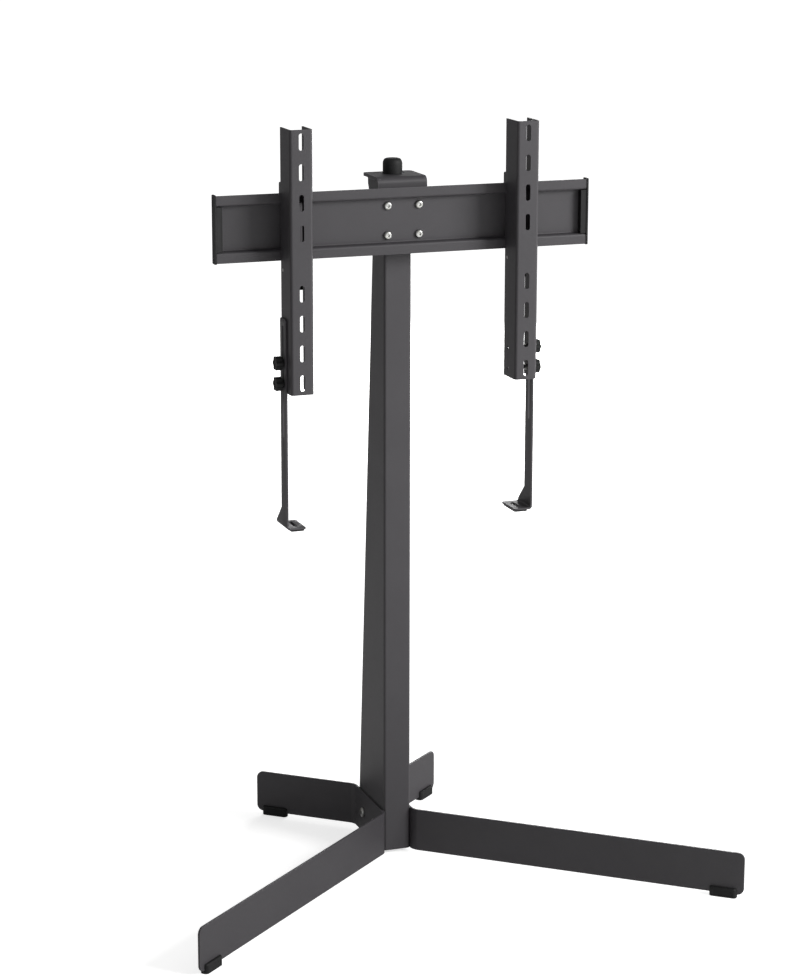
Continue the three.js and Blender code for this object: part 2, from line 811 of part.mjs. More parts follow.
// A rolled rail with a lip above and a lip below. Its middle is z = 0.
function crossbarGeometry() {
  const back = crossbarBack - crossbarWall / 2;
  const lip = crossbarFront + crossbarWall / 2;
  const shelf = crossbarHeight / 2 - crossbarWall / 2;
  const line = [
    [lip, upperLipTop],
    [lip, shelf],
    [back, shelf],
    [back, -shelf],
    [lip, -shelf],
    [lip, -upperLipTop],
  ];
  const rail = alongX(prism(sheetOutline(line, crossbarWall, crossbarBend), crossbarLength));
  const tools = crossbarScrewPlaces().map(([x, z]) => {
    const bore = rod(crossbarScrew.shank + 2 * seatGap, crossbarWall + 2 * overrun, smallSides);
    return alongFront(bore).translate(x, crossbarBack + overrun, z);
  });
  return cut(rail.translate(-crossbarLength / 2, 0, 0), ...tools);
}

// A plate over the end of the rail, with a plug between its shelves. The plate starts at x = 0.
function endCapGeometry(side) {
  const depth = crossbarDepth + 2 * endCapProud;
  const height = 2 * (upperLipTop + endCapProud);
  const plate = alongX(prism(rectangle(depth, height, endCapCorner), endCapThickness));
  const plugDepth = crossbarDepth - crossbarWall - seatGap;
  const plugHeight = crossbarHeight - 2 * crossbarWall - 2 * seatGap;
  const plugLength = endCapPlug + seatGap + endCapThickness / 2;
  const plug = alongX(prism(rectangle(plugDepth, plugHeight, crossbarBend), plugLength));
  const plugShift = -(crossbarWall + seatGap) / 2;
  plug.translate(side > 0 ? -endCapPlug - seatGap : -endCapThickness / 2, plugShift, 0);
  return join(side > 0 ? plate : plate.translate(-endCapThickness, 0, 0), plug);
}

// Arms

// A channel with its back edges on y = 0 and its lower end on z = 0.
function armGeometry() {
  const side = armWidth / 2 - armWall / 2;
  const front = armWall / 2 - armDepth;
  const line = [[-side, 0], [-side, front], [side, front], [side, 0]];
  const channel = prism(sheetOutline(line, armWall, armBend), armLength);
  const hooks = [-armWidth / 2, armWidth / 2 - armWall].map((start) => {
    return alongX(prism(hookOutline(), armWall)).translate(start, 0, 0);
  });
  const tools = screenSlotHeights().map((z) => {
    const slot = prism(slotOutline(screenSlotWidth, screenSlotLength), armWall + 2 * overrun);
    return alongFront(slot).translate(0, armWall + overrun - armDepth, z);
  });
  tools.push(armCrossBore(latchPinDiameter, latchPinSetback, latchPinHeight));
  for (const z of knobHeights()) tools.push(armCrossBore(knobStud, knobSetback, z));
  return cut(join(channel, ...hooks), ...tools);
}

// A bore along X through both sides of the arm.
function armCrossBore(diameter, setback, z) {
  const bore = alongX(rod(diameter + 2 * seatGap, armWidth + 2 * overrun, smallSides));
  return bore.translate(-armWidth / 2 - overrun, -setback, z);
}

// The hook on each back edge, over and behind the upper lip of the crossbar.
function hookOutline() {
  const seat = lipTopOnArm + seatGap;
  const fingerFront = crossbarWall + 2 * seatGap;
  const fingerWidth = crossbarTrough * hookFingerShare;
  const fingerBack = fingerFront + fingerWidth;
  return outlineOf([
    [-hookRoot, seat],
    [fingerFront, seat],
    [fingerFront, seat - hookFingerDrop],
    [fingerBack, seat - hookFingerDrop, fingerWidth / 4],
    [fingerBack, seat + hookHeight, hookCorner],
    [-hookRoot, seat + hookHeight],
  ]);
}

function screenSlotHeights() {
  const heights = [];
  for (let pair = 1; pair <= screenSlotPairs; pair += 1) {
    heights.push(armLength / 2 - pair * screenSlotPitch, armLength / 2 + pair * screenSlotPitch);
  }
  return heights;
}

function knobHeights() {
  return [knobMargin, knobMargin + knobPitch];
}

// The latch hangs on its pin and reaches up behind the lower lip. The pin's axis is y = z = 0.
function latchGeometry() {
  const lipFront = latchPinSetback + seatGap;
  const fingerFront = lipFront + crossbarWall + seatGap;
  const fingerBack = fingerFront + crossbarTrough * latchFingerShare;
  const beamTop = latchPinDrop - seatGap;
  const hook = outlineOf([
    [0, beamTop - latchBeam],
    [fingerBack, beamTop - latchBeam, latchCorner],
    [fingerBack, latchPinDrop + latchFingerRise, latchCorner],
    [fingerFront, latchPinDrop + latchFingerRise],
    [fingerFront, beamTop],
    [0, beamTop, latchCorner],
  ]);
  const handle = outlineOf([
    [-latchHandleWidth / 2, 0],
    [-latchHandleOffset - latchHandleWidth / 2, -latchHandleLength, latchCorner],
    [-latchHandleOffset + latchHandleWidth / 2, -latchHandleLength, latchCorner],
    [latchHandleWidth / 2, 0],
  ]);
  const parts = [hook, handle].map((outline) => alongX(prism(outline, latchWidth)));
  const hub = alongX(rod(latchHub, latchWidth));
  const bore = alongX(rod(latchPinDiameter + 2 * seatGap, latchWidth + 2 * overrun, smallSides));
  const body = cut(join(hub, ...parts), bore.translate(-overrun, 0, 0));
  return body.translate(-latchWidth / 2, 0, 0);
}

function latchPinGeometry() {
  return alongX(rod(latchPinDiameter, armWidth, smallSides)).translate(-armWidth / 2, 0, 0);
}

// Hanging brackets. Zero is the arm's own corner: y = 0 its back edge, z = 0 its lower end.

function bracketGeometry(side) {
  const sheet = side * (bracketOutside - bracketThickness / 2);
  const tabMiddle = bracketBottom + bracketThickness / 2;
  const tabEnd = side * (bracketOutside - bracketTabWidth);
  const line = [[sheet, bracketTop], [sheet, tabMiddle], [tabEnd, tabMiddle]];
  const front = -knobSetback - bracketStripWidth / 2;
  const bent = alongFront(prism(sheetOutline(line, bracketThickness, bracketBend), bracketTabDepth));
  const width = 2 * (bracketOutside + overrun);
  const sideView = alongX(prism(bracketSideOutline(front), width)).translate(-width / 2, 0, 0);
  const body = common(bent.translate(0, front + bracketTabDepth, 0), sideView);
  const cutterLength = bracketThickness + 2 * overrun;
  const slotStart = sheet - bracketThickness / 2 - overrun;
  const slotMiddle = (bracketSlotTop + bracketSlotBottom) / 2;
  const stripSlot = alongX(prism(bracketSlotOutline(), cutterLength));
  const tabSlot = prism(slotOutline(bracketTabSlotWidth, bracketTabSlotLength), cutterLength);
  return cut(
    body,
    stripSlot.translate(slotStart, -knobSetback, slotMiddle),
    tabSlot.translate(side * tabFlatMiddle, front + bracketTabDepth / 2, bracketBottom - overrun),
  );
}

function bracketSlotOutline() {
  return slotOutline(knobStud + 2 * seatGap, bracketSlotTop - bracketSlotBottom);
}

// The strip is narrow above and spreads to the depth of the tab below.
function bracketSideOutline(front) {
  const stripBack = front + bracketStripWidth;
  const tabBack = front + bracketTabDepth;
  const spread = tabBack - stripBack;
  const tabTop = bracketBottom + bracketThickness;
  return outlineOf([
    [front, bracketBottom],
    [tabBack, bracketBottom],
    [tabBack, tabTop + bracketBend],
    [stripBack, tabTop + bracketBend + spread, bracketStripWidth / 2],
    [stripBack, bracketTop, bracketCorner],
    [front, bracketTop, bracketCorner],
  ]);
}

// A soft pad under the tab. Its top lies just under the tab.
function tabPadGeometry() {
  const width = tabFlatWidth - 2 * tabPadInset;
  const depth = bracketTabDepth - 2 * tabPadInset;
  const pad = prism(rectangle(width, depth, tabPadCorner), tabPadThickness);
  const slot = prism(slotOutline(bracketTabSlotWidth, bracketTabSlotLength), tabPadThickness + 2 * overrun);
  return cut(pad, slot.translate(0, 0, -overrun));
}

// A star knob with a moulded-in stud. The collar's face is x = 0, the grip points to +X.
function knobGeometry() {
  const studLength = knobStudReach();
  const stud = rod(knobStud, studLength + knobCollar, smallSides).translate(0, 0, -studLength);
  const collar = rod(knobCollarDiameter, knobCollar + knobThickness / 2);
  const steps = knobLobes * cornerSteps;
  const points = [];
  for (let step = 0; step < steps; step += 1) {
    const turn = (2 * Math.PI * step) / steps;
    const reach = knobDiameter / 2 - (knobLobeDepth / 2) * (1 - Math.cos(knobLobes * turn));
    points.push(new THREE.Vector2(reach * Math.cos(turn), reach * Math.sin(turn)));
  }
  const grip = prism(new THREE.Shape(points), knobThickness).translate(0, 0, knobCollar);
  return alongX(join(grip, collar, stud));
}

// A plain hexagon nut standing on z = 0.
function weldNutGeometry() {
  const bore = rod(knobStud + 2 * seatGap, knobNutHeight + 2 * overrun, smallSides);
  return cut(hexBar(knobNutWidth, knobNutHeight), bore.translate(0, 0, -overrun));
}

function knobStudReach() {
  return seatGap + bracketThickness + seatGap + armWall + seatGap + knobNutHeight + knobStudTip;
}

// Assembly

function add(group, name, geometry, material, x = 0, y = 0, z = 0) {
  const mesh = new THREE.Mesh(geometry, material);
  mesh.name = name;
  mesh.position.set(x, y, z);
  group.add(mesh);
  return mesh;
}

function groupAt(parent, x, y, z) {
  const group = new THREE.Group();
  group.position.set(x, y, z);
  parent.add(group);
  return group;
}

const sides = [["left", -1], ["right", 1]];
const ends = [["front", -1], ["rear", 1]];

function buildBase(stand) {
  const base = groupAt(stand, 0, 0, 0);
  const bolt = screwGeometry(baseBolt);
  const pad = padGeometry();
  for (const [sideName, side] of sides) {
    add(base, `base_plate_${sideName}`, basePlateGeometry(side), powderCoat, 0, 0, plateBottom);
    for (const [endName, end] of ends) {
      const place = legPoint(side, end, legLength(end) - padSetback - padLength / 2);
      const foot = add(base, `foot_pad_${endName}_${sideName}`, pad, blackPlastic, ...place, 0);
      foot.rotation.z = legHeading(side, end);
      const boltX = side * (plateOffset + plateThickness / 2 + seatGap);
      const boltY = baseBoltMiddle + (end * baseBoltSpacing) / 2;
      const boltZ = plateBottom + baseBoltHeight;
      const screw = add(base, `base_bolt_${endName}_${sideName}`, bolt, zincSteel, boltX, boltY, boltZ);
      screw.rotation.y = (side * Math.PI) / 2;
    }
  }
}

function buildColumn(stand) {
  const column = groupAt(stand, 0, 0, plateBottom);
  add(column, "column_shell", columnGeometry(), powderCoat);
  const blockLift = (plateHeight - footBlockHeight) / 2;
  add(column, "foot_block", footBlockGeometry(), groundSteel, 0, baseBoltMiddle, blockLift);
  const coverBack = columnBackAt(plateBottom + coverFloorGap) + seatGap;
  const cover = add(column, "cable_cover", coverGeometry(), blackPlastic, 0, coverBack, coverFloorGap);
  cover.rotation.x = columnLean;
}

function buildPivot(stand) {
  const pivot = groupAt(stand, 0, axisY, 0);
  add(pivot, "head_block", headBlockGeometry(), powderCoat, 0, 0, headBottom);
  add(pivot, "pivot_pin", pivotPinGeometry(), groundSteel, 0, 0, headTop - pivotDepth);
  add(pivot, "stop_pin", stopPinGeometry(), groundSteel, 0, stopPinRadius, headTop - stopPinDepth);
  const bore = pivotThread + 2 * seatGap;
  const washer = ringGeometry(frictionWasherDiameter, pivotDiameter + 2 * seatGap, frictionWasherThickness);
  add(pivot, "friction_washer", washer, bearingPlastic, 0, 0, washerBottom);
  add(pivot, "disc_washer", discWasherGeometry(), zincSteel, 0, 0, discWasherBottom);
  add(pivot, "lock_nut", nutGeometry(nutWidth, nutHeight, bore), zincSteel, 0, 0, nutBottom);
  const screw = screwGeometry(headScrew);
  for (const [sideName, side] of sides) {
    for (const [endName, end] of ends) {
      const x = side * (columnWidth / 2 + seatGap);
      const place = [x, (end * headScrewSpacing) / 2, columnTop - headBlockLength / 2];
      const head = add(pivot, `head_screw_${endName}_${sideName}`, screw, zincSteel, ...place);
      head.rotation.y = (side * Math.PI) / 2;
    }
  }
}

function buildHead(stand) {
  const head = groupAt(stand, 0, axisY, 0);
  add(head, "yoke", yokeGeometry(), powderCoat, 0, 0, yokeBottom);
  add(head, "pivot_bush", bushGeometry(), bearingPlastic, 0, 0, yokeTop + seatGap);
  add(head, "pivot_cap", pivotCapGeometry(), blackPlastic, 0, 0, yokeTop + seatGap);
  const rail = groupAt(head, 0, 0, crossbarMiddle);
  add(rail, "crossbar", crossbarGeometry(), powderCoat);
  const screw = screwGeometry(crossbarScrew);
  const screwY = crossbarBack - crossbarWall - seatGap;
  crossbarScrewPlaces().forEach(([x, z], i) => {
    const fixing = add(rail, `crossbar_screw_${i + 1}`, screw, zincSteel, x, screwY, z);
    fixing.rotation.x = Math.PI / 2;
  });
  for (const [sideName, side] of sides) {
    const capX = side * (crossbarLength / 2 + seatGap);
    const capY = crossbarBack - crossbarDepth / 2;
    add(rail, `crossbar_end_cap_${sideName}`, endCapGeometry(side), blackPlastic, capX, capY, 0);
  }
  return head;
}

function buildArm(head, sideName, side) {
  const arm = groupAt(head, (side * armSpacing) / 2, armBack, armBottom);
  add(arm, `arm_${sideName}`, armGeometry(), powderCoat);
  add(arm, `latch_${sideName}`, latchGeometry(), blackPlastic, 0, -latchPinSetback, latchPinHeight);
  add(arm, `latch_pin_${sideName}`, latchPinGeometry(), zincSteel, 0, -latchPinSetback, latchPinHeight);
  add(arm, `bar_bracket_${sideName}`, bracketGeometry(side), powderCoat);
  const padX = side * tabFlatMiddle;
  const padY = -knobSetback - bracketStripWidth / 2 + bracketTabDepth / 2;
  add(arm, `bar_pad_${sideName}`, tabPadGeometry(), softRubber, padX, padY, -bracketDrop);
  const nut = weldNutGeometry();
  const knob = knobGeometry();
  knobHeights().forEach((z, i) => {
    const place = i === 0 ? "lower" : "upper";
    const grip = add(arm, `knob_${place}_${sideName}`, knob, blackPlastic, 0, -knobSetback, z);
    grip.position.x = side * (armWidth / 2 + 2 * seatGap + bracketThickness);
    grip.rotation.z = side > 0 ? 0 : Math.PI;
    const weldNut = add(arm, `weld_nut_${place}_${sideName}`, nut, zincSteel, 0, -knobSetback, z);
    weldNut.position.x = side * (armWidth / 2 - armWall - seatGap - knobNutHeight);
    weldNut.rotation.y = (side * Math.PI) / 2;
  });
}

// The origin goes under the middle of the whole stand, on the floor.
function centreOnFloor(stand) {
  stand.updateMatrixWorld(true);
  const box = new THREE.Box3().setFromObject(stand, true);
  const middle = box.getCenter(new THREE.Vector3());
  stand.position.set(-middle.x, -middle.y, -box.min.z);
}

const stand = new THREE.Group();
buildBase(stand);
buildColumn(stand);
buildPivot(stand);
const head = buildHead(stand);
for (const [sideName, side] of sides) buildArm(head, sideName, side);
centreOnFloor(stand);

export default stand;
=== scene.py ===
"""Dresses a floor stand: bent plates, a folded column, a swivel head, hook-on arms and hanging brackets."""

import logging
import math
from collections.abc import Callable, Iterable, Sequence
from dataclasses import dataclass
from enum import Enum
from typing import Any, Self

import bmesh
import bpy
from mathutils import Matrix, Vector

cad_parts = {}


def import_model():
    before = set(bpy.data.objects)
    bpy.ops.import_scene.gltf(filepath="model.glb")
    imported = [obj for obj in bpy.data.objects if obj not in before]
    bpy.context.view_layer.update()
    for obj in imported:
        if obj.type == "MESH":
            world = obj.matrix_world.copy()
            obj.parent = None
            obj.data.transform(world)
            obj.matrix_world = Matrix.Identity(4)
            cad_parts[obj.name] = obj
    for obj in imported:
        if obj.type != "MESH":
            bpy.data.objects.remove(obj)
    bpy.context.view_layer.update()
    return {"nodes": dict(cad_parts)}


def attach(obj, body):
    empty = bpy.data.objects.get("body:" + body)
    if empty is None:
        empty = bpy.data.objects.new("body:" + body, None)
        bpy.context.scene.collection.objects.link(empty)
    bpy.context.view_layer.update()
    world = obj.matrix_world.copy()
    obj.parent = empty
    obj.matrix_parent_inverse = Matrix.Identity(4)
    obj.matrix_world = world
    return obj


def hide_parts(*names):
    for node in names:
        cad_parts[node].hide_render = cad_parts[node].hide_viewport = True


frame: dict[str, Any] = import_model()

LOG = logging.getLogger("tv_stand")

# How near two places count as one, and the least cosine at which a direction counts as an axis's.
NEAR = 2e-4
SQUARE = 0.9
# The gap between pieces that touch, and how far a tool reaches past the sheet that it cuts.
GAP = 0.0003
REACH = 0.01

X, Y, Z = (Vector(axis) for axis in ((1, 0, 0), (0, 1, 0), (0, 0, 1)))
# Turns plan coordinates and heights into a strip that runs along X, or along the way to the front.
ALONG_X = Matrix(((0, 0, 1, 0), (1, 0, 0, 0), (0, 1, 0, 0), (0, 0, 0, 1)))
TO_FRONT = Matrix.Rotation(math.pi / 2, 4, "X")

# The Mix node's inputs and output for colours have numbers, because their names repeat.
MIX_SHARE, MIX_FIRST, MIX_SECOND, MIX_RESULT = 0, 6, 7, 2

Point = Sequence[float]
Pair = tuple[float, float]
Test = Callable[[Vector], bool]
Tree, Node, Socket = bpy.types.NodeTree, bpy.types.Node, bpy.types.NodeSocket


class Half(Enum):
    """A half of the stand, with its word in the names of nodes and bodies."""

    @property
    def word(self) -> str:
        """The half's word."""
        return self.name.lower()


class Side(Half):
    """The left or right half, as seen from the front."""

    LEFT = -1
    RIGHT = 1


class End(Half):
    """The front or rear half."""

    FRONT = -1
    REAR = 1


class Pick(Enum):
    """What is picked in edit mode."""

    CORNER = "VERT"
    EDGE = "EDGE"
    FACE = "FACE"


class Edge(Enum):
    """How wide the small rounding on a piece's edges is."""

    SCREW = 0.0002
    THIN_CAP = 0.0003
    SHEET = 0.0004
    PLATE = 0.0005
    BLOCK = 0.0006
    GRIP = 0.0012


class Slot(Enum):
    """The material slots."""

    POWDER_COAT = "powder_coat"
    BLACK_PLASTIC = "black_plastic"
    ZINC_STEEL = "zinc_steel"
    GROUND_STEEL = "ground_steel"
    BEARING_PLASTIC = "bearing_plastic"
    SOFT_RUBBER = "soft_rubber"


def about(axis: str, angle: float) -> Matrix:
    """A turn about an axis through the origin."""
    return Matrix.Rotation(angle, 4, axis)


def lay_out(side: Side) -> Matrix:
    """The turn that lays an upright piece down towards a side."""
    return about("Y", side.value * math.pi / 2)


def deselect() -> None:
    """Leaves edit mode and deselects every object."""
    if bpy.context.object is not None and bpy.context.object.mode != "OBJECT":
        bpy.ops.object.mode_set(mode="OBJECT")
    bpy.ops.object.select_all(action="DESELECT")


@dataclass
class Workpiece:
    """A mesh on the bench, shaped by edit-mode operators and finished by applied modifiers."""

    obj: bpy.types.Object

    @classmethod
    def start(cls, add: Callable[..., Any], stretch: Point = (1, 1, 1), **settings: Any) -> Self:
        """Starts from a primitive.

        Args:
            add: the operator that adds it.
            stretch: its scale in its own X, Y and Z.
            settings: the operator's settings.

        Returns:
            The piece.
        """
        deselect()
        add(**settings)
        bpy.context.object.scale = stretch
        return cls(bpy.context.object).settle()

    @classmethod
    def block(cls, low: Point, high: Point) -> Self:
        """Starts from a block between its lowest and its highest corner."""
        middle, stretch = (Vector(low) + Vector(high)) / 2, Vector(high) - Vector(low)
        return cls.start(bpy.ops.mesh.primitive_cube_add, stretch, size=1, location=middle)

    @classmethod
    def post(cls, size: Point, low: float, high: float) -> Self:
        """Starts from an upright block round the Z axis, of a size in X and Y."""
        x, y = size[0] / 2, size[1] / 2
        return cls.block((-x, -y, low), (x, y, high))

    @classmethod
    def rod(cls, radius: float, low: float, high: float, sides: int = 48) -> Self:
        """Starts from an upright rod round the Z axis, with no corner on the X axis.

        Args:
            radius: its radius.
            low: the height of its foot.
            high: the height of its top.
            sides: how many sides it has.

        Returns:
            The rod.
        """
        size = {"vertices": sides, "radius": radius, "depth": high - low}
        place = {"location": (0, 0, (low + high) / 2), "rotation": (0, 0, math.pi / sides)}
        return cls.start(bpy.ops.mesh.primitive_cylinder_add, **size, **place)

    @classmethod
    def domed(cls, radius: float, height: float, steps: Sequence[Point], sides: int = 48) -> Self:
        """Starts from an upright rod on height 0 that ends in a dome.

        Args:
            radius: the rod's radius.
            height: how high the dome's top is.
            steps: the dome's rings from its foot to its top, as shares of the radius and of the height.
            sides: how many sides the rod has.

        Returns:
            The rod.
        """
        piece = cls.rod(radius, 0, steps[0][1] * height, sides)
        for (across, low), (share, up) in zip(steps, steps[1:]):
            top = low * height
            piece.pick(Pick.FACE, lambda at: abs(at.z - top) < NEAR / 10, Z)
            piece.extrude((0, 0, up * height - top)).spread(share / across)
        return piece

    @classmethod
    def slot(cls, width: float, length: float, low: float, high: float) -> Self:
        """Starts from an upright bar with round ends, long in Y, for cutting a slot.

        Args:
            width: the slot's width, in X.
            length: its length from end to end, in Y.
            low: the height of its foot.
            high: the height of its top.

        Returns:
            The bar.
        """
        bar = cls.rod(width / 2, low, high, 32)
        for way in (1, -1):
            bar.pick(Pick.CORNER, lambda at: way * at.y > 0).shift((0, way * (length - width) / 2, 0))
        return bar

    def open(self) -> None:
        """Enters edit mode on this piece alone."""
        if self.obj.mode != "EDIT":
            self.close()
            bpy.ops.object.mode_set(mode="EDIT")

    def close(self) -> None:
        """Leaves edit mode with this piece alone selected."""
        deselect()
        self.obj.select_set(True)
        bpy.context.view_layer.objects.active = self.obj

    def settle(self) -> Self:
        """Puts the object's place, turn and scale into its mesh.

        Returns:
            The piece itself.
        """
        self.close()
        bpy.ops.object.transform_apply(location=True, rotation=True, scale=True)
        return self

    def put(self, matrix: Matrix) -> Self:
        """Moves and turns the whole piece from its present frame."""
        self.obj.matrix_world = matrix
        return self.settle()

    def at(self, x: float, y: float, z: float, turn: Matrix = Matrix.Identity(4)) -> Self:
        """Turns the whole piece about the origin, and then moves it."""
        return self.put(Matrix.Translation((x, y, z)) @ turn)

    def on_side(self, side: Side, x: float, y: float, z: float) -> Self:
        """Moves a piece that was made for the right side, and mirrors it for the left one."""
        self.at(x, y, z, Matrix.Diagonal((side.value, 1, 1, 1)))
        return self.weld() if side is Side.LEFT else self

    def copy(self) -> Self:
        """Copies the piece.

        Returns:
            The copy, with its own mesh.
        """
        twin = self.obj.copy()
        twin.data = self.obj.data.copy()
        bpy.context.scene.collection.objects.link(twin)
        return type(self)(twin)

    def discard(self) -> None:
        """Takes the piece off the bench."""
        bpy.data.objects.remove(self.obj)

    def pick(self, kind: Pick, where: Test = lambda at: True, along: Vector | None = None) -> Self:
        """Selects corners, edges or faces.

        Args:
            kind: what is selected.
            where: says of a corner, or the middle of an edge or face, whether it is selected.
            along: the way that the edges run or the faces look, where that counts.

        Returns:
            The piece itself.

        Raises:
            ValueError: if nothing is found.
        """
        self.open()
        bpy.ops.mesh.select_mode(type=kind.value)
        bpy.ops.mesh.select_all(action="DESELECT")
        shape = bmesh.from_edit_mesh(self.obj.data)
        if kind is Pick.CORNER:
            found = [v for v in shape.verts if where(v.co)]
        elif kind is Pick.EDGE:
            runs = [(e, *(v.co for v in e.verts)) for e in shape.edges]
            found = [e for e, start, end in runs if where((start + end) / 2)
                     and (along is None or abs((end - start).normalized().dot(along)) > SQUARE)]
        else:
            found = [f for f in shape.faces if where(f.calc_center_median())
                     and (along is None or f.normal.dot(along) > SQUARE)]
        if not found:
            raise ValueError(f"nothing was picked on {self.obj.name}")
        for item in found:
            item.select_set(True)
        bmesh.update_edit_mesh(self.obj.data)
        return self

    def extrude(self, move: Point) -> Self:
        """Extrudes what is picked."""
        bpy.ops.mesh.extrude_region_move(TRANSFORM_OT_translate={"value": tuple(move)})
        return self

    def shift(self, move: Point) -> Self:
        """Moves what is picked."""
        bpy.ops.transform.translate(value=tuple(move))
        return self

    def spread(self, share: float) -> Self:
        """Scales what is picked in X and Y about the Z axis."""
        bpy.ops.transform.resize(value=(share, share, 1), center_override=(0, 0, 0))
        return self

    def inset(self, margin: float, depth: float = 0.0) -> Self:
        """Insets each picked face by itself, and raises or sinks it."""
        bpy.ops.mesh.inset(thickness=margin, depth=depth, use_individual=True)
        return self

    def bevel(self, offset: float, steps: int, corners: bool = False) -> Self:
        """Rounds the picked edges, or the picked corners of a flat sheet.

        Args:
            offset: how far from the edge or corner the rounding starts.
            steps: how many faces it gets.
            corners: whether corners are rounded, and not edges.

        Returns:
            The piece itself.
        """
        settings = {"affect": "VERTICES" if corners else "EDGES", "clamp_overlap": False}
        bpy.ops.mesh.bevel(offset_type="OFFSET", offset=offset, segments=steps, **settings)
        return self

    def rib(self, low: float, high: float, cuts: int, share: float, below: float) -> Self:
        """Cuts rings round an upright rod and scales every other one.

        Args:
            low: the height of the rod's foot.
            high: the height of its top.
            cuts: how many rings are cut.
            share: how wide every other ring becomes.
            below: the height below which they do.

        Returns:
            The piece itself.
        """
        pitch = (high - low) / (cuts + 1)
        self.pick(Pick.EDGE, along=Z)
        bpy.ops.mesh.subdivide(number_cuts=cuts)
        self.pick(Pick.CORNER, lambda at: at.z < below and round((at.z - low) / pitch) % 2 == 1)
        return self.spread(share)

    def slice(self, point: Point, normal: Point, cut_off: bool = False) -> Self:
        """Cuts the whole piece by a plane.

        Args:
            point: a point of the plane.
            normal: the plane's normal.
            cut_off: whether what lies on the normal's side goes, and the cut is closed.

        Returns:
            The piece itself.
        """
        self.open()
        bpy.ops.mesh.select_all(action="SELECT")
        plane = {"plane_co": tuple(point), "plane_no": tuple(normal)}
        bpy.ops.mesh.bisect(use_fill=cut_off, clear_outer=cut_off, **plane)
        return self

    def weld(self) -> Self:
        """Merges corners that lie on each other and turns the faces outwards.

        Returns:
            The piece itself.
        """
        self.open()
        bpy.ops.mesh.select_all(action="SELECT")
        bpy.ops.mesh.remove_doubles(threshold=1e-6)
        bpy.ops.mesh.normals_make_consistent(inside=False)
        return self

    def modify(self, kind: str, **settings: Any) -> Self:
        """Adds a modifier and applies it.

        Args:
            kind: the modifier's type.
            settings: its settings by name.

        Returns:
            The piece itself.
        """
        self.close()
        modifier = self.obj.modifiers.new(kind.title(), kind)
        for name, value in settings.items():
            setattr(modifier, name, value)
        bpy.ops.object.modifier_apply(modifier=modifier.name)
        return self

    def thicken(self, thickness: float, offset: float = 0.0) -> Self:
        """Gives a sheet its thickness, half to each side unless an offset says otherwise."""
        return self.modify("SOLIDIFY", thickness=thickness, offset=offset, use_even_offset=True)

    def combine(self, operation: str, others: Iterable[Self]) -> Self:
        """Combines this closed piece with others, and removes them.

        Args:
            operation: DIFFERENCE or UNION.
            others: the other closed pieces.

        Returns:
            The piece itself.
        """
        for other in others:
            self.modify("BOOLEAN", operation=operation, solver="EXACT", object=other.obj)
            other.discard()
        return self

    def cut(self, *tools: Self) -> Self:
        """Cuts the tools out of this piece."""
        return self.combine("DIFFERENCE", tools)

    def fuse(self, *others: Self) -> Self:
        """Fuses other closed pieces with this one."""
        return self.combine("UNION", others)

    def gather(self, *others: Self) -> Self:
        """Joins other pieces to this one as they are.

        Args:
            others: the other pieces.

        Returns:
            The piece itself.
        """
        self.close()
        for other in others:
            other.obj.select_set(True)
        bpy.ops.object.join()
        return self

    def polish(self, edge: Edge, steps: int = 2, angle: float = 38.0) -> Self:
        """Rounds the sharp edges a little and shades the piece smooth.

        Args:
            edge: how wide the rounding is.
            steps: how many faces it gets.
            angle: the angle in degrees from which an edge is sharp.

        Returns:
            The piece itself.
        """
        limit = math.radians(angle)
        self.modify("BEVEL", width=edge.value, segments=steps, limit_method="ANGLE", angle_limit=limit)
        bpy.ops.object.shade_smooth_by_angle(angle=limit)
        return self.modify("WEIGHTED_NORMAL", mode="FACE_AREA", keep_sharp=True)


@dataclass(frozen=True)
class Turn:
    """A point where the middle line of a strip of sheet turns, with the radius of its bend."""

    a: float
    b: float
    radius: float = 0.0

    def under(self, at: Vector) -> bool:
        """Whether a place is over this point of the plan."""
        return math.hypot(at.x - self.a, at.y - self.b) < NEAR


def symmetric(half: Sequence[Turn], a: int, b: int) -> list[Turn]:
    """A middle line made of its first half, and of that half mirrored by the signs of a and b."""
    return [*half, *(Turn(a * turn.a, b * turn.b, turn.radius) for turn in reversed(half))]


def folded_strip(path: Sequence[Turn], low: float, high: float) -> Workpiece:
    """Models the middle surface of a strip that stands on edge over a line of the plan, with sharp folds.

    Args:
        path: the points of its middle line.
        low: the height of its lower edge.
        high: the height of its upper edge.

    Returns:
        The strip, without thickness.
    """
    start, end = (Vector((turn.a, turn.b, (low + high) / 2)) for turn in path[:2])
    along = end - start
    strip = Workpiece.start(
        bpy.ops.mesh.primitive_plane_add, (along.length, high - low, 1), size=1,
        location=start + along / 2, rotation=(math.pi / 2, 0, math.atan2(along.y, along.x)),
    )
    for here, there in zip(path[1:], path[2:]):
        strip.pick(Pick.EDGE, here.under, Z).extrude((there.a - here.a, there.b - here.b, 0))
    return strip


def bend(strip: Workpiece, path: Sequence[Turn], steps: int) -> Workpiece:
    """Rounds the folds of a strip to their bend radii.

    Args:
        strip: the strip with sharp folds.
        path: the points of its middle line.
        steps: how many faces each bend gets.

    Returns:
        The strip itself.
    """
    for before, here, after in zip(path, path[1:], path[2:]):
        into = Vector((here.a - before.a, here.b - before.b))
        out = Vector((after.a - here.a, after.b - here.b))
        setback = here.radius * math.tan(into.angle(out) / 2)
        strip.pick(Pick.EDGE, here.under, Z).bevel(setback, steps)
    return strip


def linear(colour: str) -> tuple[float, float, float, float]:
    """Turns an sRGB colour into a linear one.

    Args:
        colour: six hex digits after a hash.

    Returns:
        Its linear red, green, blue and alpha.
    """
    shares = [int(colour[i : i + 2], 16) / 255 for i in (1, 3, 5)]
    red, green, blue = (s / 12.92 if s <= 0.04045 else ((s + 0.055) / 1.055) ** 2.4 for s in shares)
    return (red, green, blue, 1.0)


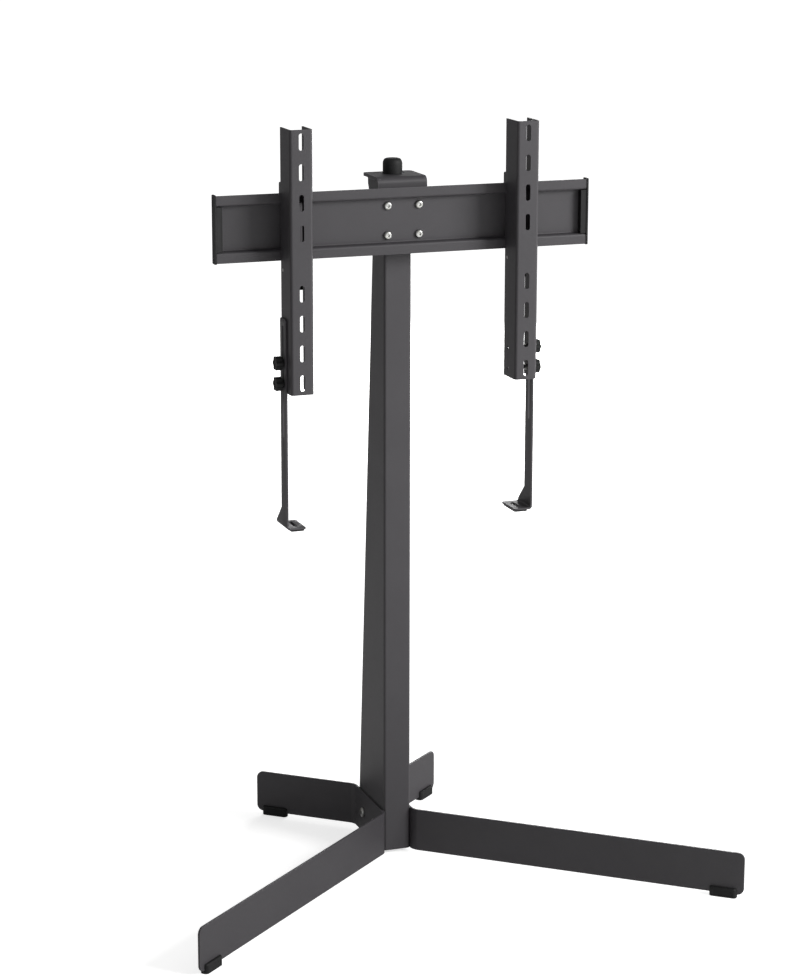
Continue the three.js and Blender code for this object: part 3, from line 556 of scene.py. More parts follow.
def per_metre(millimetres: float) -> float:
    """The scale of a pattern whose features are that many millimetres apart."""
    return 1000 / millimetres


def empty_tree(owner: bpy.types.Material | bpy.types.World) -> Tree:
    """Empties the node tree of a new material or world.

    Args:
        owner: the material or world.

    Returns:
        The tree, without nodes.
    """
    owner.use_nodes = True
    owner.node_tree.nodes.clear()
    return owner.node_tree


def add_node(tree: Tree, kind: str, settings: dict[str | int, Any] | None = None) -> Node:
    """Adds a node with its settings and links.

    Args:
        tree: the material's or world's node tree.
        kind: the node's type, without the words that every shader node's type starts with.
        settings: its own properties by name, and its inputs' values by name or number. A node or socket
            there is linked to the input, a node by its first output.

    Returns:
        The new node.
    """
    node = tree.nodes.new(f"ShaderNode{kind}")
    for name, value in (settings or {}).items():
        if isinstance(value, (Node, Socket)):
            tree.links.new(value.outputs[0] if isinstance(value, Node) else value, node.inputs[name])
        elif isinstance(name, int) or name in node.inputs:
            node.inputs[name].default_value = value
        else:
            setattr(node, name, value)
    return node


@dataclass(frozen=True)
class Finish:
    """What every finish has: a material slot, its shader's values, soft clouds and a fine relief."""

    name: str
    slot: Slot
    colour: str
    roughness: float
    cloud_mm: float
    cloud_colour: str
    cloud_detail: float = 3.0
    grain_mm: float = 0.0
    grain_height_mm: float = 0.0
    grain_strength: float = 1.0
    # How far the roughness varies with the grain, down and up.
    gloss: Pair = (0.0, 0.0)
    metallic: float = 0.0
    ior: float = 1.5
    specular: float = 0.5

    def material(self) -> bpy.types.Material:
        """Makes the finish's material, the first time that it is asked for.

        Returns:
            The material.
        """
        known = bpy.data.materials.get(self.name)
        if known is not None:
            return known
        made = bpy.data.materials.new(self.name)
        tree = empty_tree(made)
        colours = {"Base Color": linear(self.colour), "Metallic": self.metallic, "IOR": self.ior}
        shine = {"Roughness": self.roughness, "Specular IOR Level": self.specular}
        shader = add_node(tree, "BsdfPrincipled", colours | shine)
        place = add_node(tree, "TexCoord").outputs["Object"]
        tree.links.new(self.tint(tree, place), shader.inputs["Base Color"])
        if self.grain_height_mm:
            height = self.relief(tree, place)
            depth = {"Strength": self.grain_strength, "Distance": self.grain_height_mm / 1000}
            bump = add_node(tree, "Bump", {**depth, "Height": height})
            tree.links.new(bump.outputs["Normal"], shader.inputs["Normal"])
            if any(self.gloss):
                low, high = (self.roughness + change for change in self.gloss)
                gloss = add_node(tree, "MapRange", {"To Min": low, "To Max": high, "Value": height})
                tree.links.new(gloss.outputs["Result"], shader.inputs["Roughness"])
        add_node(tree, "OutputMaterial", {"Surface": shader})
        return made

    def tint(self, tree: Tree, place: Socket) -> Socket:
        """Blends the finish's colour softly with that of its clouds.

        Args:
            tree: the material's node tree.
            place: the place on the object, in metres.

        Returns:
            The blended colour.
        """
        scale = {"Scale": per_metre(self.cloud_mm), "Detail": self.cloud_detail}
        cloud = add_node(tree, "TexNoise", {**scale, "Vector": place})
        colours = {MIX_FIRST: linear(self.colour), MIX_SECOND: linear(self.cloud_colour)}
        return add_node(tree, "Mix", {"data_type": "RGBA", MIX_SHARE: cloud, **colours}).outputs[MIX_RESULT]

    def relief(self, tree: Tree, place: Socket) -> Socket:
        """The height of the finish's grain, from 0 to 1."""
        scale = {"Scale": per_metre(self.grain_mm), "Detail": 4.0}
        return add_node(tree, "TexNoise", {**scale, "Vector": place}).outputs[0]


@dataclass(frozen=True)
class PowderCoat(Finish):
    """Polyester powder on sheet steel, sprayed dry and baked: satin, with a fine even orange peel."""

    # The melting powder draws back from sharp edges, where its thin film looks a shade paler. The pale line
    # is also a painted highlight that stands in for light caught by the rounded edges, and it lightens
    # concave corners too.
    edge_mm: float = 1.4
    edge_colour: str = "#525054"
    edge_cosines: Pair = (0.99, 0.8)

    def tint(self, tree: Tree, place: Socket) -> Socket:
        """Adds the paler edges, part thin film and part painted highlight, to the faint clouds of an uneven
        coat.

        Args:
            tree: the material's node tree.
            place: the place on the object, in metres.

        Returns:
            The blended colour.
        """
        rounded = add_node(tree, "Bevel", {"samples": 4, "Radius": self.edge_mm / 1000})
        flat = add_node(tree, "NewGeometry").outputs["Normal"]
        lean = add_node(tree, "VectorMath", {"operation": "DOT_PRODUCT", 0: rounded, 1: flat})
        start, full = self.edge_cosines
        between = {"From Min": start, "From Max": full, "Value": lean.outputs["Value"]}
        edge = add_node(tree, "MapRange", between)
        # Mixes in the pale edge colour: partly a thinner film, partly a painted highlight along the edges.
        colours = {MIX_FIRST: super().tint(tree, place), MIX_SECOND: linear(self.edge_colour)}
        return add_node(tree, "Mix", {"data_type": "RGBA", MIX_SHARE: edge, **colours}).outputs[MIX_RESULT]


@dataclass(frozen=True)
class MouldedPlastic(Finish):
    """Polyamide, injection moulded in a spark-eroded tool, which leaves an even matt grain."""


@dataclass(frozen=True)
class ZincPlate(Finish):
    """Steel with bright zinc, plated in a barrel: shiny, with tinted clouds and dull nicks from tumbling."""


@dataclass(frozen=True)
class TurnedSteel(Finish):
    """Bare free-cutting steel, turned on a lathe and oiled: fine rings round the axis."""

    # How many bands a wave texture of scale 1 has in a metre.
    bands: float = 20 / (2 * math.pi)

    def relief(self, tree: Tree, place: Socket) -> Socket:
        """The height of the rings that the tool's feed leaves, from 0 to 1."""
        wave = {"bands_direction": "Z", "Scale": per_metre(self.grain_mm) / self.bands, "Distortion": 1.0}
        return add_node(tree, "TexWave", {**wave, "Detail": 2.0, "Vector": place}).outputs["Fac"]


@dataclass(frozen=True)
class BearingPlastic(Finish):
    """Natural acetal, machined smooth: ivory white with a waxy gloss and a trace of grease."""


@dataclass(frozen=True)
class SoftRubber(Finish):
    """Cellular rubber, cut from sheet: dull, with fine open pores and a greyish bloom."""


# Anthracite, a dark warm grey. The real peel is about 0.4 mm across, drawn at 1.8 mm so that it shows.
COAT = PowderCoat(
    "anthracite_powder_coat", Slot.POWDER_COAT, "#383639", 0.52, 90.0, "#403e41",
    grain_mm=1.8, grain_height_mm=0.035, gloss=(-0.06, 0.06), specular=0.45,
)
# Black, a shade paler where the melt flowed differently. The real grain is 0.15 mm across, drawn at 0.8 mm.
PLASTIC = MouldedPlastic(
    "black_moulded_polyamide", Slot.BLACK_PLASTIC, "#141414", 0.6, 25.0, "#232324",
    grain_mm=0.8, grain_height_mm=0.03, specular=0.25,
)
# Bluish and yellowish clouds of the passivation. The nicks stand about a millimetre apart.
ZINC = ZincPlate(
    "bright_zinc_plate", Slot.ZINC_STEEL, "#bec0c3", 0.3, 5.0, "#a9a79c", 4.0,
    grain_mm=1.2, grain_height_mm=0.01, gloss=(-0.08, 0.12), metallic=1.0,
)
# The tool's real feed is 0.1 mm. Its rings are drawn 5.7 mm apart, so that they show.
STEEL = TurnedSteel(
    "turned_steel", Slot.GROUND_STEEL, "#8b8d90", 0.32, 8.0, "#6f6c66",
    grain_mm=5.6549, grain_height_mm=0.03, grain_strength=0.6, metallic=1.0,
)
ACETAL = BearingPlastic("natural_acetal", Slot.BEARING_PLASTIC, "#dcd6c6", 0.35, 6.0, "#c9c2ac")
# The real pores are about 0.3 mm across, drawn at 1 mm.
RUBBER = SoftRubber(
    "black_cellular_rubber", Slot.SOFT_RUBBER, "#111111", 0.85, 12.0, "#202021",
    grain_mm=1.0, grain_height_mm=0.12,
)


def hand_over(piece: Workpiece, name: str, finish: Finish, body: str, node: str) -> None:
    """Gives a finished piece its name and material, and lets it ride on its body in a CAD node's place.

    Args:
        piece: the finished piece.
        name: its name.
        finish: its finish.
        body: the body that it moves with.
        node: the CAD node that it stands for.
    """
    piece.close()
    obj = piece.obj
    obj.name = obj.data.name = name
    obj.data.materials.clear()
    obj.data.materials.append(finish.material())
    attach(obj, body)
    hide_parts(node)
    LOG.info("%s: %d faces, rides on %s", name, len(obj.data.polygons), body)


def coat_nodes(finish: Finish, *names: str) -> None:
    """Gives a finish to CAD nodes whose own shape is right.

    Args:
        finish: the finish.
        names: the nodes' names.
    """
    for name in names:
        for slot in frame["nodes"][name].material_slots:
            slot.material = finish.material()
        LOG.info("%s: keeps its own shape", name)


@dataclass(frozen=True)
class RoundHeadScrew:
    """A screw with a low round head and a hexagon socket."""

    head: float
    crown: float
    shank: float
    length: float
    socket: float
    socket_depth: float
    dome: tuple[Point, ...] = ((1, 0.42), (0.97, 0.6), (0.9, 0.76), (0.79, 0.9), (0.66, 0.97), (0.52, 1))

    def model(self) -> Workpiece:
        """Models the screw upright, with the underside of its head at height 0.

        Returns:
            The screw.
        """
        screw = Workpiece.domed(self.head / 2, self.crown, self.dome)
        screw.pick(Pick.FACE, along=-Z).inset((self.head - self.shank) / 2).extrude((0, 0, -self.length))
        key_radius = self.socket / 2 / math.cos(math.pi / 6)
        key = Workpiece.rod(key_radius, self.crown - self.socket_depth, self.crown * 2, 6)
        return screw.cut(key).polish(Edge.SCREW)


@dataclass(frozen=True)
class Leg:
    """A leg of a base plate: its length, and where its fold and the bolt beside it are in Y."""

    length: float
    fold_y: float
    bolt_y: float


@dataclass
class Base:
    """Two bent plates on edge, clamped to the foot of the column, on four clip-on pads."""

    thickness: float = 0.004
    height: float = 0.076
    bottom: float = 0.006
    fold: float = 0.02
    corner: float = 0.012
    offset: float = 0.0268
    spread: float = math.radians(49)
    front: Leg = Leg(0.605, 0.054577, 0.103692)
    rear: Leg = Leg(0.195, 0.214407, 0.165292)
    pad_size: tuple[float, float, float] = (0.048, 0.015, 0.017)
    pad_sole: float = 0.0057
    pad_setback: float = 0.012
    pad_round: float = 0.0026
    pad_end: float = 0.006
    panel_margin: float = 0.0016
    panel_depth: float = 0.0005
    bolt_height: float = 0.044
    bolt: RoundHeadScrew = RoundHeadScrew(0.018, 0.004, 0.010, 0.022, 0.006, 0.0026)

    def leg(self, end: End) -> Leg:
        """The legs at one end."""
        return self.rear if end is End.REAR else self.front

    def leg_point(self, side: Side, end: End, distance: float) -> Pair:
        """A point on the middle line of a leg, at a distance from its fold."""
        out, along = distance * math.sin(self.spread), distance * math.cos(self.spread)
        return side.value * (self.offset + out), self.leg(end).fold_y + end.value * along

    def plate(self, side: Side) -> Workpiece:
        """Models one bent plate.

        Args:
            side: the side of the column that it lies on.

        Returns:
            The plate.
        """
        ends = (End.REAR, End.FRONT)
        rear, front = (Turn(*self.leg_point(side, end, self.leg(end).length)) for end in ends)
        path = [rear, *(Turn(*self.leg_point(side, end, 0), self.fold) for end in ends), front]
        strip = bend(folded_strip(path, self.bottom, self.bottom + self.height), path, 9)
        strip.pick(Pick.CORNER, lambda at: rear.under(at) or front.under(at))
        return strip.bevel(self.corner, 8, corners=True).thicken(self.thickness).polish(Edge.PLATE)

    def pad(self) -> Workpiece:
        """Models one pad along X: a clip with a sole, round ends and a sunk panel on each side.

        Returns:
            The pad, standing on height 0.
        """
        length, width, height = self.pad_size
        pad = Workpiece.post((length, width), 0, height)
        pad.pick(Pick.EDGE, along=Z).bevel(self.pad_end, 7)
        pad.pick(Pick.EDGE, lambda at: at.z > height - NEAR).bevel(self.pad_round, 4)
        pad.pick(Pick.EDGE, lambda at: at.z < NEAR).bevel(self.pad_round / 3, 2)
        pad.pick(Pick.FACE, lambda at: abs(at.y) > width / 2 - NEAR / 10)
        pad.inset(self.panel_margin).inset(self.panel_depth, -self.panel_depth)
        slot = Workpiece.post((2 * length, self.thickness + 2 * GAP), self.pad_sole, 2 * height)
        return pad.cut(slot).polish(Edge.SHEET)

    def build(self) -> None:
        """Models the plates, the pads and the bolts."""
        first_pad, first_bolt = self.pad(), self.bolt.model()
        for side in Side:
            plate = f"base_plate_{side.word}"
            hand_over(self.plate(side), f"bent_plate_{side.word}", COAT, "stand", plate)
            for end in End:
                where = f"{end.word}_{side.word}"
                middle = self.leg(end).length - self.pad_setback - self.pad_size[0] / 2
                heading = math.atan2(end.value * math.cos(self.spread), side.value * math.sin(self.spread))
                pad = first_pad.copy().at(*self.leg_point(side, end, middle), 0, about("Z", heading))
                hand_over(pad, f"clip_pad_{where}", PLASTIC, "stand", f"foot_pad_{where}")
                x = side.value * (self.offset + self.thickness / 2 + GAP)
                bolt = first_bolt.copy().at(x, self.leg(end).bolt_y, self.bolt_height, lay_out(side))
                hand_over(bolt, f"plate_bolt_{where}", ZINC, "stand", f"base_bolt_{where}")
        first_pad.discard()
        first_bolt.discard()


@dataclass
class Column:
    """A tapered column of folded sheet, open at the back, with a snap-on cover over its cable duct."""

    width: float = 0.049
    height: float = 1.194
    bottom: float = 0.006
    face_y: float = 0.063692
    foot_depth: float = 0.1416
    top_depth: float = 0.054
    wall: float = 0.0025
    fold: float = 0.003
    lip: float = 0.012
    cover_width: float = 0.045
    cover_wall: float = 0.002
    cover_round: float = 0.0008
    cover_gap: float = 0.002
    cover_top: float = 1.06
    leg_outside: float = 0.0122
    leg_depth: float = 0.0071
    hole_size: Pair = (0.017, 0.05)
    hole_height: float = 0.122

    @property
    def lean(self) -> float:
        """How far the back of the column leans forward, in radians."""
        return math.atan((self.foot_depth - self.top_depth) / self.height)

    def shell(self) -> Workpiece:
        """Models the folded sheet of the column.

        Returns:
            The column's shell.
        """
        half = (self.width - self.wall) / 2
        front = self.face_y + self.wall / 2
        back = self.face_y + self.foot_depth - self.wall / 2
        lip = Turn(self.lip - self.width / 2, back)
        path = symmetric([lip, Turn(-half, back), Turn(-half, front)], -1, 1)
        strip = folded_strip(path, self.bottom, self.bottom + self.height)
        strip.pick(Pick.CORNER, lambda at: at.y > front + NEAR and at.z > self.height / 2)
        strip.shift((0, self.top_depth - self.foot_depth, 0))
        strip.pick(Pick.EDGE, lambda at: abs(abs(at.x) - half) < NEAR, Z)
        return strip.bevel(self.fold, 6).thicken(self.wall).polish(Edge.SHEET)

    def cover(self) -> Workpiece:
        """Models the cover: a panel with two spring legs, and a hole for the cables.

        Returns:
            The cover, in its place.
        """
        length = (self.cover_top - self.bottom - self.cover_gap) / math.cos(self.lean)
        half, wall = self.cover_width / 2, self.cover_wall
        panel = Workpiece.block((-half, 0, 0), (half, wall, length))
        panel.pick(Pick.EDGE, lambda at: at.y > wall / 2, Z).bevel(self.cover_round, 4)
        for side in Side:
            low, high = sorted(side.value * x for x in (self.leg_outside - wall, self.leg_outside))
            panel.fuse(Workpiece.block((low, -self.leg_depth, 0), (high, wall / 2, length)))
        hole = Workpiece.slot(*self.hole_size, -REACH, REACH)
        hole.at(0, 0, self.hole_height - self.bottom - self.cover_gap, TO_FRONT)
        foot_y = self.face_y + self.foot_depth - self.cover_gap * math.tan(self.lean) + GAP
        panel.cut(hole).polish(Edge.SHEET)
        return panel.at(0, foot_y, self.bottom + self.cover_gap, about("X", self.lean))

    def build(self) -> None:
        """Models the shell and its cover, and finishes the block inside its foot."""
        hand_over(self.shell(), "folded_column", COAT, "stand", "column_shell")
        hand_over(self.cover(), "duct_cover", PLASTIC, "stand", "cable_cover")
        coat_nodes(STEEL, "foot_block")


@dataclass
class Pivot:
    """The block in the top of the column, with the pin, washers and nut on which the head turns."""

    axis_y: float = 0.090692
    column_top: float = 1.2
    block_length: float = 0.1
    block_size: Pair = (0.0434, 0.0484)
    block_round: float = 0.003
    flange_size: Pair = (0.049, 0.054)
    flange_round: float = 0.00425
    flange_height: float = 0.004
    bore: float = 0.0103
    bore_depth: float = 0.08
    cap_radius: float = 0.0168
    cap_foot: float = 1.2122
    cap_height: float = 0.0258
    cap_wall: float = 0.002
    cap_dome: tuple[Point, ...] = (
        (1, 0.6), (0.995, 0.7), (0.965, 0.8), (0.9, 0.89), (0.8, 0.955), (0.66, 0.99), (0.5, 1),
    )
    screw_spacing: float = 0.028
    screw: RoundHeadScrew = RoundHeadScrew(0.012, 0.0033, 0.006, 0.012, 0.004, 0.002)

    def block(self) -> Workpiece:
        """Models the head block, with its flange over the column's rim.

        Returns:
            The block.
        """
        low = self.column_top + GAP
        flange = Workpiece.post(self.flange_size, low, low + self.flange_height)
        flange.pick(Pick.EDGE, along=Z).bevel(self.flange_round, 6)
        foot = self.column_top - self.block_length
        body = Workpiece.post(self.block_size, foot, low + self.flange_height / 2)
        body.pick(Pick.EDGE, along=Z).bevel(self.block_round, 4)
        bore = Workpiece.rod(self.bore, low - self.bore_depth, low + self.flange_height * 2)
        return flange.fuse(body).cut(bore).polish(Edge.BLOCK).at(0, self.axis_y, 0)

    def cap(self) -> Workpiece:
        """Models the domed cap over the nut.

        Returns:
            The cap.
        """
        cap = Workpiece.domed(self.cap_radius, self.cap_height, self.cap_dome, 64)
        cap.pick(Pick.FACE, along=-Z)
        bpy.ops.mesh.delete(type="FACE")
        return cap.thicken(self.cap_wall, -1.0).polish(Edge.THIN_CAP).at(0, self.axis_y, self.cap_foot)

    def build(self) -> None:
        """Models the block, the cap and the screws, and finishes what the cap hides."""
        hand_over(self.block(), "flanged_head_block", COAT, "stand", "head_block")
        hand_over(self.cap(), "domed_nut_cap", PLASTIC, "head", "pivot_cap")
        first = self.screw.model()
        for side in Side:
            for end in End:
                where = f"{end.word}_{side.word}"
                x = side.value * (self.flange_size[0] / 2 + GAP)
                y = self.axis_y + end.value * self.screw_spacing / 2
                screw = first.copy().at(x, y, self.column_top - self.block_length / 2, lay_out(side))
                hand_over(screw, f"block_screw_{where}", ZINC, "stand", f"head_screw_{where}")
        first.discard()
        coat_nodes(STEEL, "pivot_pin", "stop_pin")
        coat_nodes(ZINC, "disc_washer", "lock_nut")
        coat_nodes(ACETAL, "friction_washer", "pivot_bush")


@dataclass
class Head:
    """The bent yoke that turns on the pivot, and the rail that it carries."""

    axis_y: float = 0.090692
    yoke_bottom: float = 1.2069
    yoke_wall: float = 0.005
    yoke_fold: float = 0.008
    tail: float = 0.03
    reach: float = 0.044959
    drop: float = 0.1169
    top_half: float = 0.043959
    flare: float = 0.014
    shoulder: float = 0.024
    yoke_corner: float = 0.008
    web_inside: float = 0.037959
    web_wall: float = 0.004
    web_foot: float = 0.0949
    web_run: float = 0.007041
    web_nose: float = 0.01
    web_round: float = 0.003
    bush_bore: float = 0.0136
    stop_radius: float = 0.02
    stop_half: float = 0.0028
    stop_turn: float = math.radians(30)
    bead: float = 0.0016
    # How far the beads keep from the fold, from the web's foot and from its rear end.
    bead_margins: tuple[float, float, float] = (0.012, 0.004, 0.003)
    ripple_length: float = 0.0022
    ripple_share: float = 1.16
    rail_middle: float = 1.14
    rail_length: float = 0.66
    rail_front: float = 0.025433
    rail_back: float = 0.040433
    rail_shelf: float = 0.04
    rail_reach: float = 0.056
    rail_wall: float = 0.0025
    rail_fold: float = 0.0035
    cap_wall: float = 0.003
    cap_proud: float = 0.0012
    cap_round: float = 0.0025
    cap_margin: float = 0.0018
    cap_sink: float = 0.0004
    plug_length: float = 0.01
    plug_shift: float = 0.0014
    screw_pitch: Pair = (0.056, 0.05)
    screw: RoundHeadScrew = RoundHeadScrew(0.014, 0.0044, 0.008, 0.010, 0.005, 0.0024)

    def bent_plate(self) -> Workpiece:
        """Models the yoke's bent plate, with wings beside the rail's screws.

        Returns:
            The plate, with the pivot axis at X and Y 0 and its top plate standing on height 0.
        """
        middle = self.yoke_wall / 2
        front = -self.reach - middle
        outside, below = self.top_half + self.flare, -self.shoulder - NEAR
        path = [Turn(self.tail, middle), Turn(front, middle), Turn(front, -self.drop)]
        strip = folded_strip(path, -self.top_half, self.top_half).put(ALONG_X)
        strip.slice((0, 0, -self.shoulder), Z)
        for side in Side:
            edge_x = side.value * self.top_half
            strip.pick(Pick.EDGE, lambda at: abs(at.x - edge_x) < NEAR and at.z < below)
            strip.extrude((side.value * self.flare, 0, 0))
        strip.pick(Pick.CORNER, lambda at: abs(abs(at.x) - outside) < NEAR and at.z > below)
        strip.shift((0, 0, -self.flare))
        strip.pick(Pick.EDGE, lambda at: at.y < front + NEAR and abs(at.z - middle) < NEAR, X)
        strip.bevel(self.yoke_fold, 8)
        for x, at_end in (
            (outside, lambda at: at.z < -self.drop + NEAR),
            (self.top_half, lambda at: at.y > self.tail - NEAR),
        ):
            strip.pick(Pick.CORNER, lambda at: abs(abs(at.x) - x) < NEAR and at_end(at))
            strip.bevel(self.yoke_corner, 6, corners=True)
        return strip.thicken(self.yoke_wall)

    def stop_slot(self) -> list[Workpiece]:
        """Models the tools that cut the curved slot of the stop pin.

        Returns:
            A rod at each of its ends, and a swept bar.
        """
        low, high, turn = -self.yoke_wall, 2 * self.yoke_wall, self.stop_turn
        places = [about("Z", angle) @ Matrix.Translation((0, self.stop_radius, 0)) for angle in (-turn, turn)]
        rods = [Workpiece.rod(self.stop_half, low, high, 32).put(place) for place in places]
        bar = Workpiece.start(
            bpy.ops.mesh.primitive_plane_add, (high - low, 2 * self.stop_half, 1), size=1,
            location=(0, self.stop_radius, (low + high) / 2), rotation=(0, math.pi / 2, 0),
        )
        bar.put(about("Z", -turn)).open()
        bpy.ops.mesh.select_all(action="SELECT")
        bpy.ops.mesh.spin(steps=14, angle=2 * turn, center=(0, 0, 0), axis=(0, 0, 1))
        return [*rods, bar.weld()]

    def web(self, side: Side) -> Workpiece:
        """Models one web between the yoke's two plates.

        Args:
            side: the side that it stands on.

        Returns:
            The web, in the frame of the bent plate.
        """
        low, high = sorted(side.value * x for x in (self.web_inside, self.web_inside + self.web_wall))
        back, nose = -self.reach - self.yoke_wall / 2, self.web_nose - self.reach
        web = Workpiece.block((low, back, -self.web_foot), (high, self.web_run, self.yoke_wall / 2))
        slope = (0, self.web_foot - self.web_nose, nose - self.web_run)
        web.slice((0, nose, -self.web_foot), slope, cut_off=True)
        web.pick(Pick.EDGE, lambda at: at.z < NEAR - self.web_nose and at.y > back + NEAR, X)
        return web.bevel(self.web_round, 4).polish(Edge.PLATE)

    def weld_bead(self, start: Point, end: Point) -> Workpiece:
        """Models a run of fillet weld: a bar with the ripples that its molten pool leaves.

        Args:
            start: where it starts.
            end: where it ends.

        Returns:
            The bead.
        """
        along = Vector(end) - Vector(start)
        length = along.length
        bead = Workpiece.rod(self.bead, 0, length, 10)
        bead.rib(0, length, max(6, round(length / self.ripple_length)), self.ripple_share, length - NEAR)
        bead.at(*start, Z.rotation_difference(along.normalized()).to_matrix().to_4x4())
        bpy.ops.object.shade_smooth()
        return bead

    def yoke(self) -> Workpiece:
        """Models the welded yoke.

        Returns:
            The yoke, in its place.
        """
        plate = self.bent_plate()
        bush = Workpiece.rod(self.bush_bore, -self.yoke_wall, 2 * self.yoke_wall)
        plate.cut(bush, *self.stop_slot()).polish(Edge.PLATE)
        front = -self.reach
        from_fold, from_foot, from_rear = self.bead_margins
        parts = []
        for side in Side:
            parts.append(self.web(side))
            for x in (side.value * self.web_inside, side.value * (self.web_inside + self.web_wall)):
                parts.append(self.weld_bead((x, front, from_foot - self.web_foot), (x, front, -from_fold)))
                parts.append(self.weld_bead((x, front + from_fold, 0), (x, self.web_run - from_rear, 0)))
        return plate.gather(*parts).at(0, self.axis_y, self.yoke_bottom)

    def rail(self) -> Workpiece:
        """Models the rolled rail, with a lip above and a lip below.

        Returns:
            The rail.
        """
        back, lip = self.rail_back - self.rail_wall / 2, self.rail_front + self.rail_wall / 2
        shelf, fold, half = self.rail_shelf - self.rail_wall / 2, self.rail_fold, self.rail_length / 2
        path = symmetric([Turn(lip, self.rail_reach), Turn(lip, shelf, fold), Turn(back, shelf, fold)], 1, -1)
        strip = bend(folded_strip(path, -half, half), path, 6).put(ALONG_X)
        return strip.thicken(self.rail_wall).polish(Edge.SHEET).at(0, 0, self.rail_middle)

    def end_cap(self, side: Side) -> Workpiece:
        """Models the plate over one end of the rail, with its plug.

        Args:
            side: the end that it closes.

        Returns:
            The cap.
        """
        y = (self.rail_back - self.rail_front) / 2 + self.cap_proud
        z = self.rail_reach + self.cap_proud
        start = self.rail_length / 2 + GAP
        cap = Workpiece.block((start, -y, -z), (start + self.cap_wall, y, z))
        cap.pick(Pick.EDGE, along=X).bevel(self.cap_round, 5)
        cap.pick(Pick.FACE, along=X).inset(self.cap_margin, -self.cap_sink)
        y -= self.cap_proud + self.rail_wall / 2 + GAP
        z = self.rail_shelf - self.rail_wall - GAP
        plug_start, plug_end = start - GAP - self.plug_length, start + self.cap_wall / 3
        plug = Workpiece.block((plug_start, -y - self.plug_shift, -z), (plug_end, y - self.plug_shift, z))
        middle = (self.rail_front + self.rail_back) / 2
        return cap.fuse(plug).polish(Edge.PLATE).on_side(side, 0, middle, self.rail_middle)

    def build(self) -> None:
        """Models the yoke, the rail, its end caps and its screws."""
        hand_over(self.yoke(), "welded_yoke", COAT, "head", "yoke")
        hand_over(self.rail(), "rolled_rail", COAT, "head", "crossbar")
        for side in Side:
            node = f"crossbar_end_cap_{side.word}"
            hand_over(self.end_cap(side), f"rail_cap_{side.word}", PLASTIC, "head", node)
        first = self.screw.model()
        across, up = (pitch / 2 for pitch in self.screw_pitch)
        places = [(x, z) for x in (-across, across) for z in (-up, up)]
        seat = self.rail_back - self.rail_wall - GAP
        for number, (x, z) in enumerate(places, 1):
            screw = first.copy().at(x, seat, self.rail_middle + z, TO_FRONT)
            hand_over(screw, f"rail_screw_{number}", ZINC, "head", f"crossbar_screw_{number}")
        first.discard()


@dataclass(frozen=True)
class Latch:
    """A latch on a pin: a hub, a finger that reaches up behind the lip, and a handle."""

    width: float = 0.024
    hub: float = 0.008
    bore: float = 0.0033
    beam: Pair = (0.0047, 0.0137)
    finger: Pair = (0.005, 0.024)
    front: float = 0.0125
    back: float = 0.0175
    handle_wall: float = 0.007
    handle_length: float = 0.034
    kick: float = 0.006
    corner: float = 0.002

    def model(self) -> Workpiece:
        """Models the latch with its pin's axis on the X axis.

        Returns:
            The latch.
        """
        half, back, wall, foot = self.width / 2, self.back, self.handle_wall / 2, -self.handle_length
        hub = Workpiece.rod(self.hub, -half, half, 40).put(ALONG_X)
        beam = Workpiece.block((-half, 0, self.beam[0]), (half, back, self.beam[1]))
        low, high = self.finger
        finger = Workpiece.block((-half, self.front, low), (half, back, high))
        finger.pick(Pick.EDGE, lambda at: at.z > high - NEAR and at.y > back - NEAR, X).bevel(self.corner, 4)
        handle = Workpiece.block((-half, -wall, foot), (half, wall, 0))
        handle.pick(Pick.CORNER, lambda at: at.z < foot + NEAR).shift((0, -self.kick, 0))
        handle.pick(Pick.EDGE, lambda at: at.z < foot + NEAR, X).bevel(self.corner, 4)
        bore = Workpiece.rod(self.bore, -self.width, self.width, 32).put(ALONG_X)
        return hub.fuse(beam, finger, handle).cut(bore).polish(Edge.BLOCK, 3, 30)


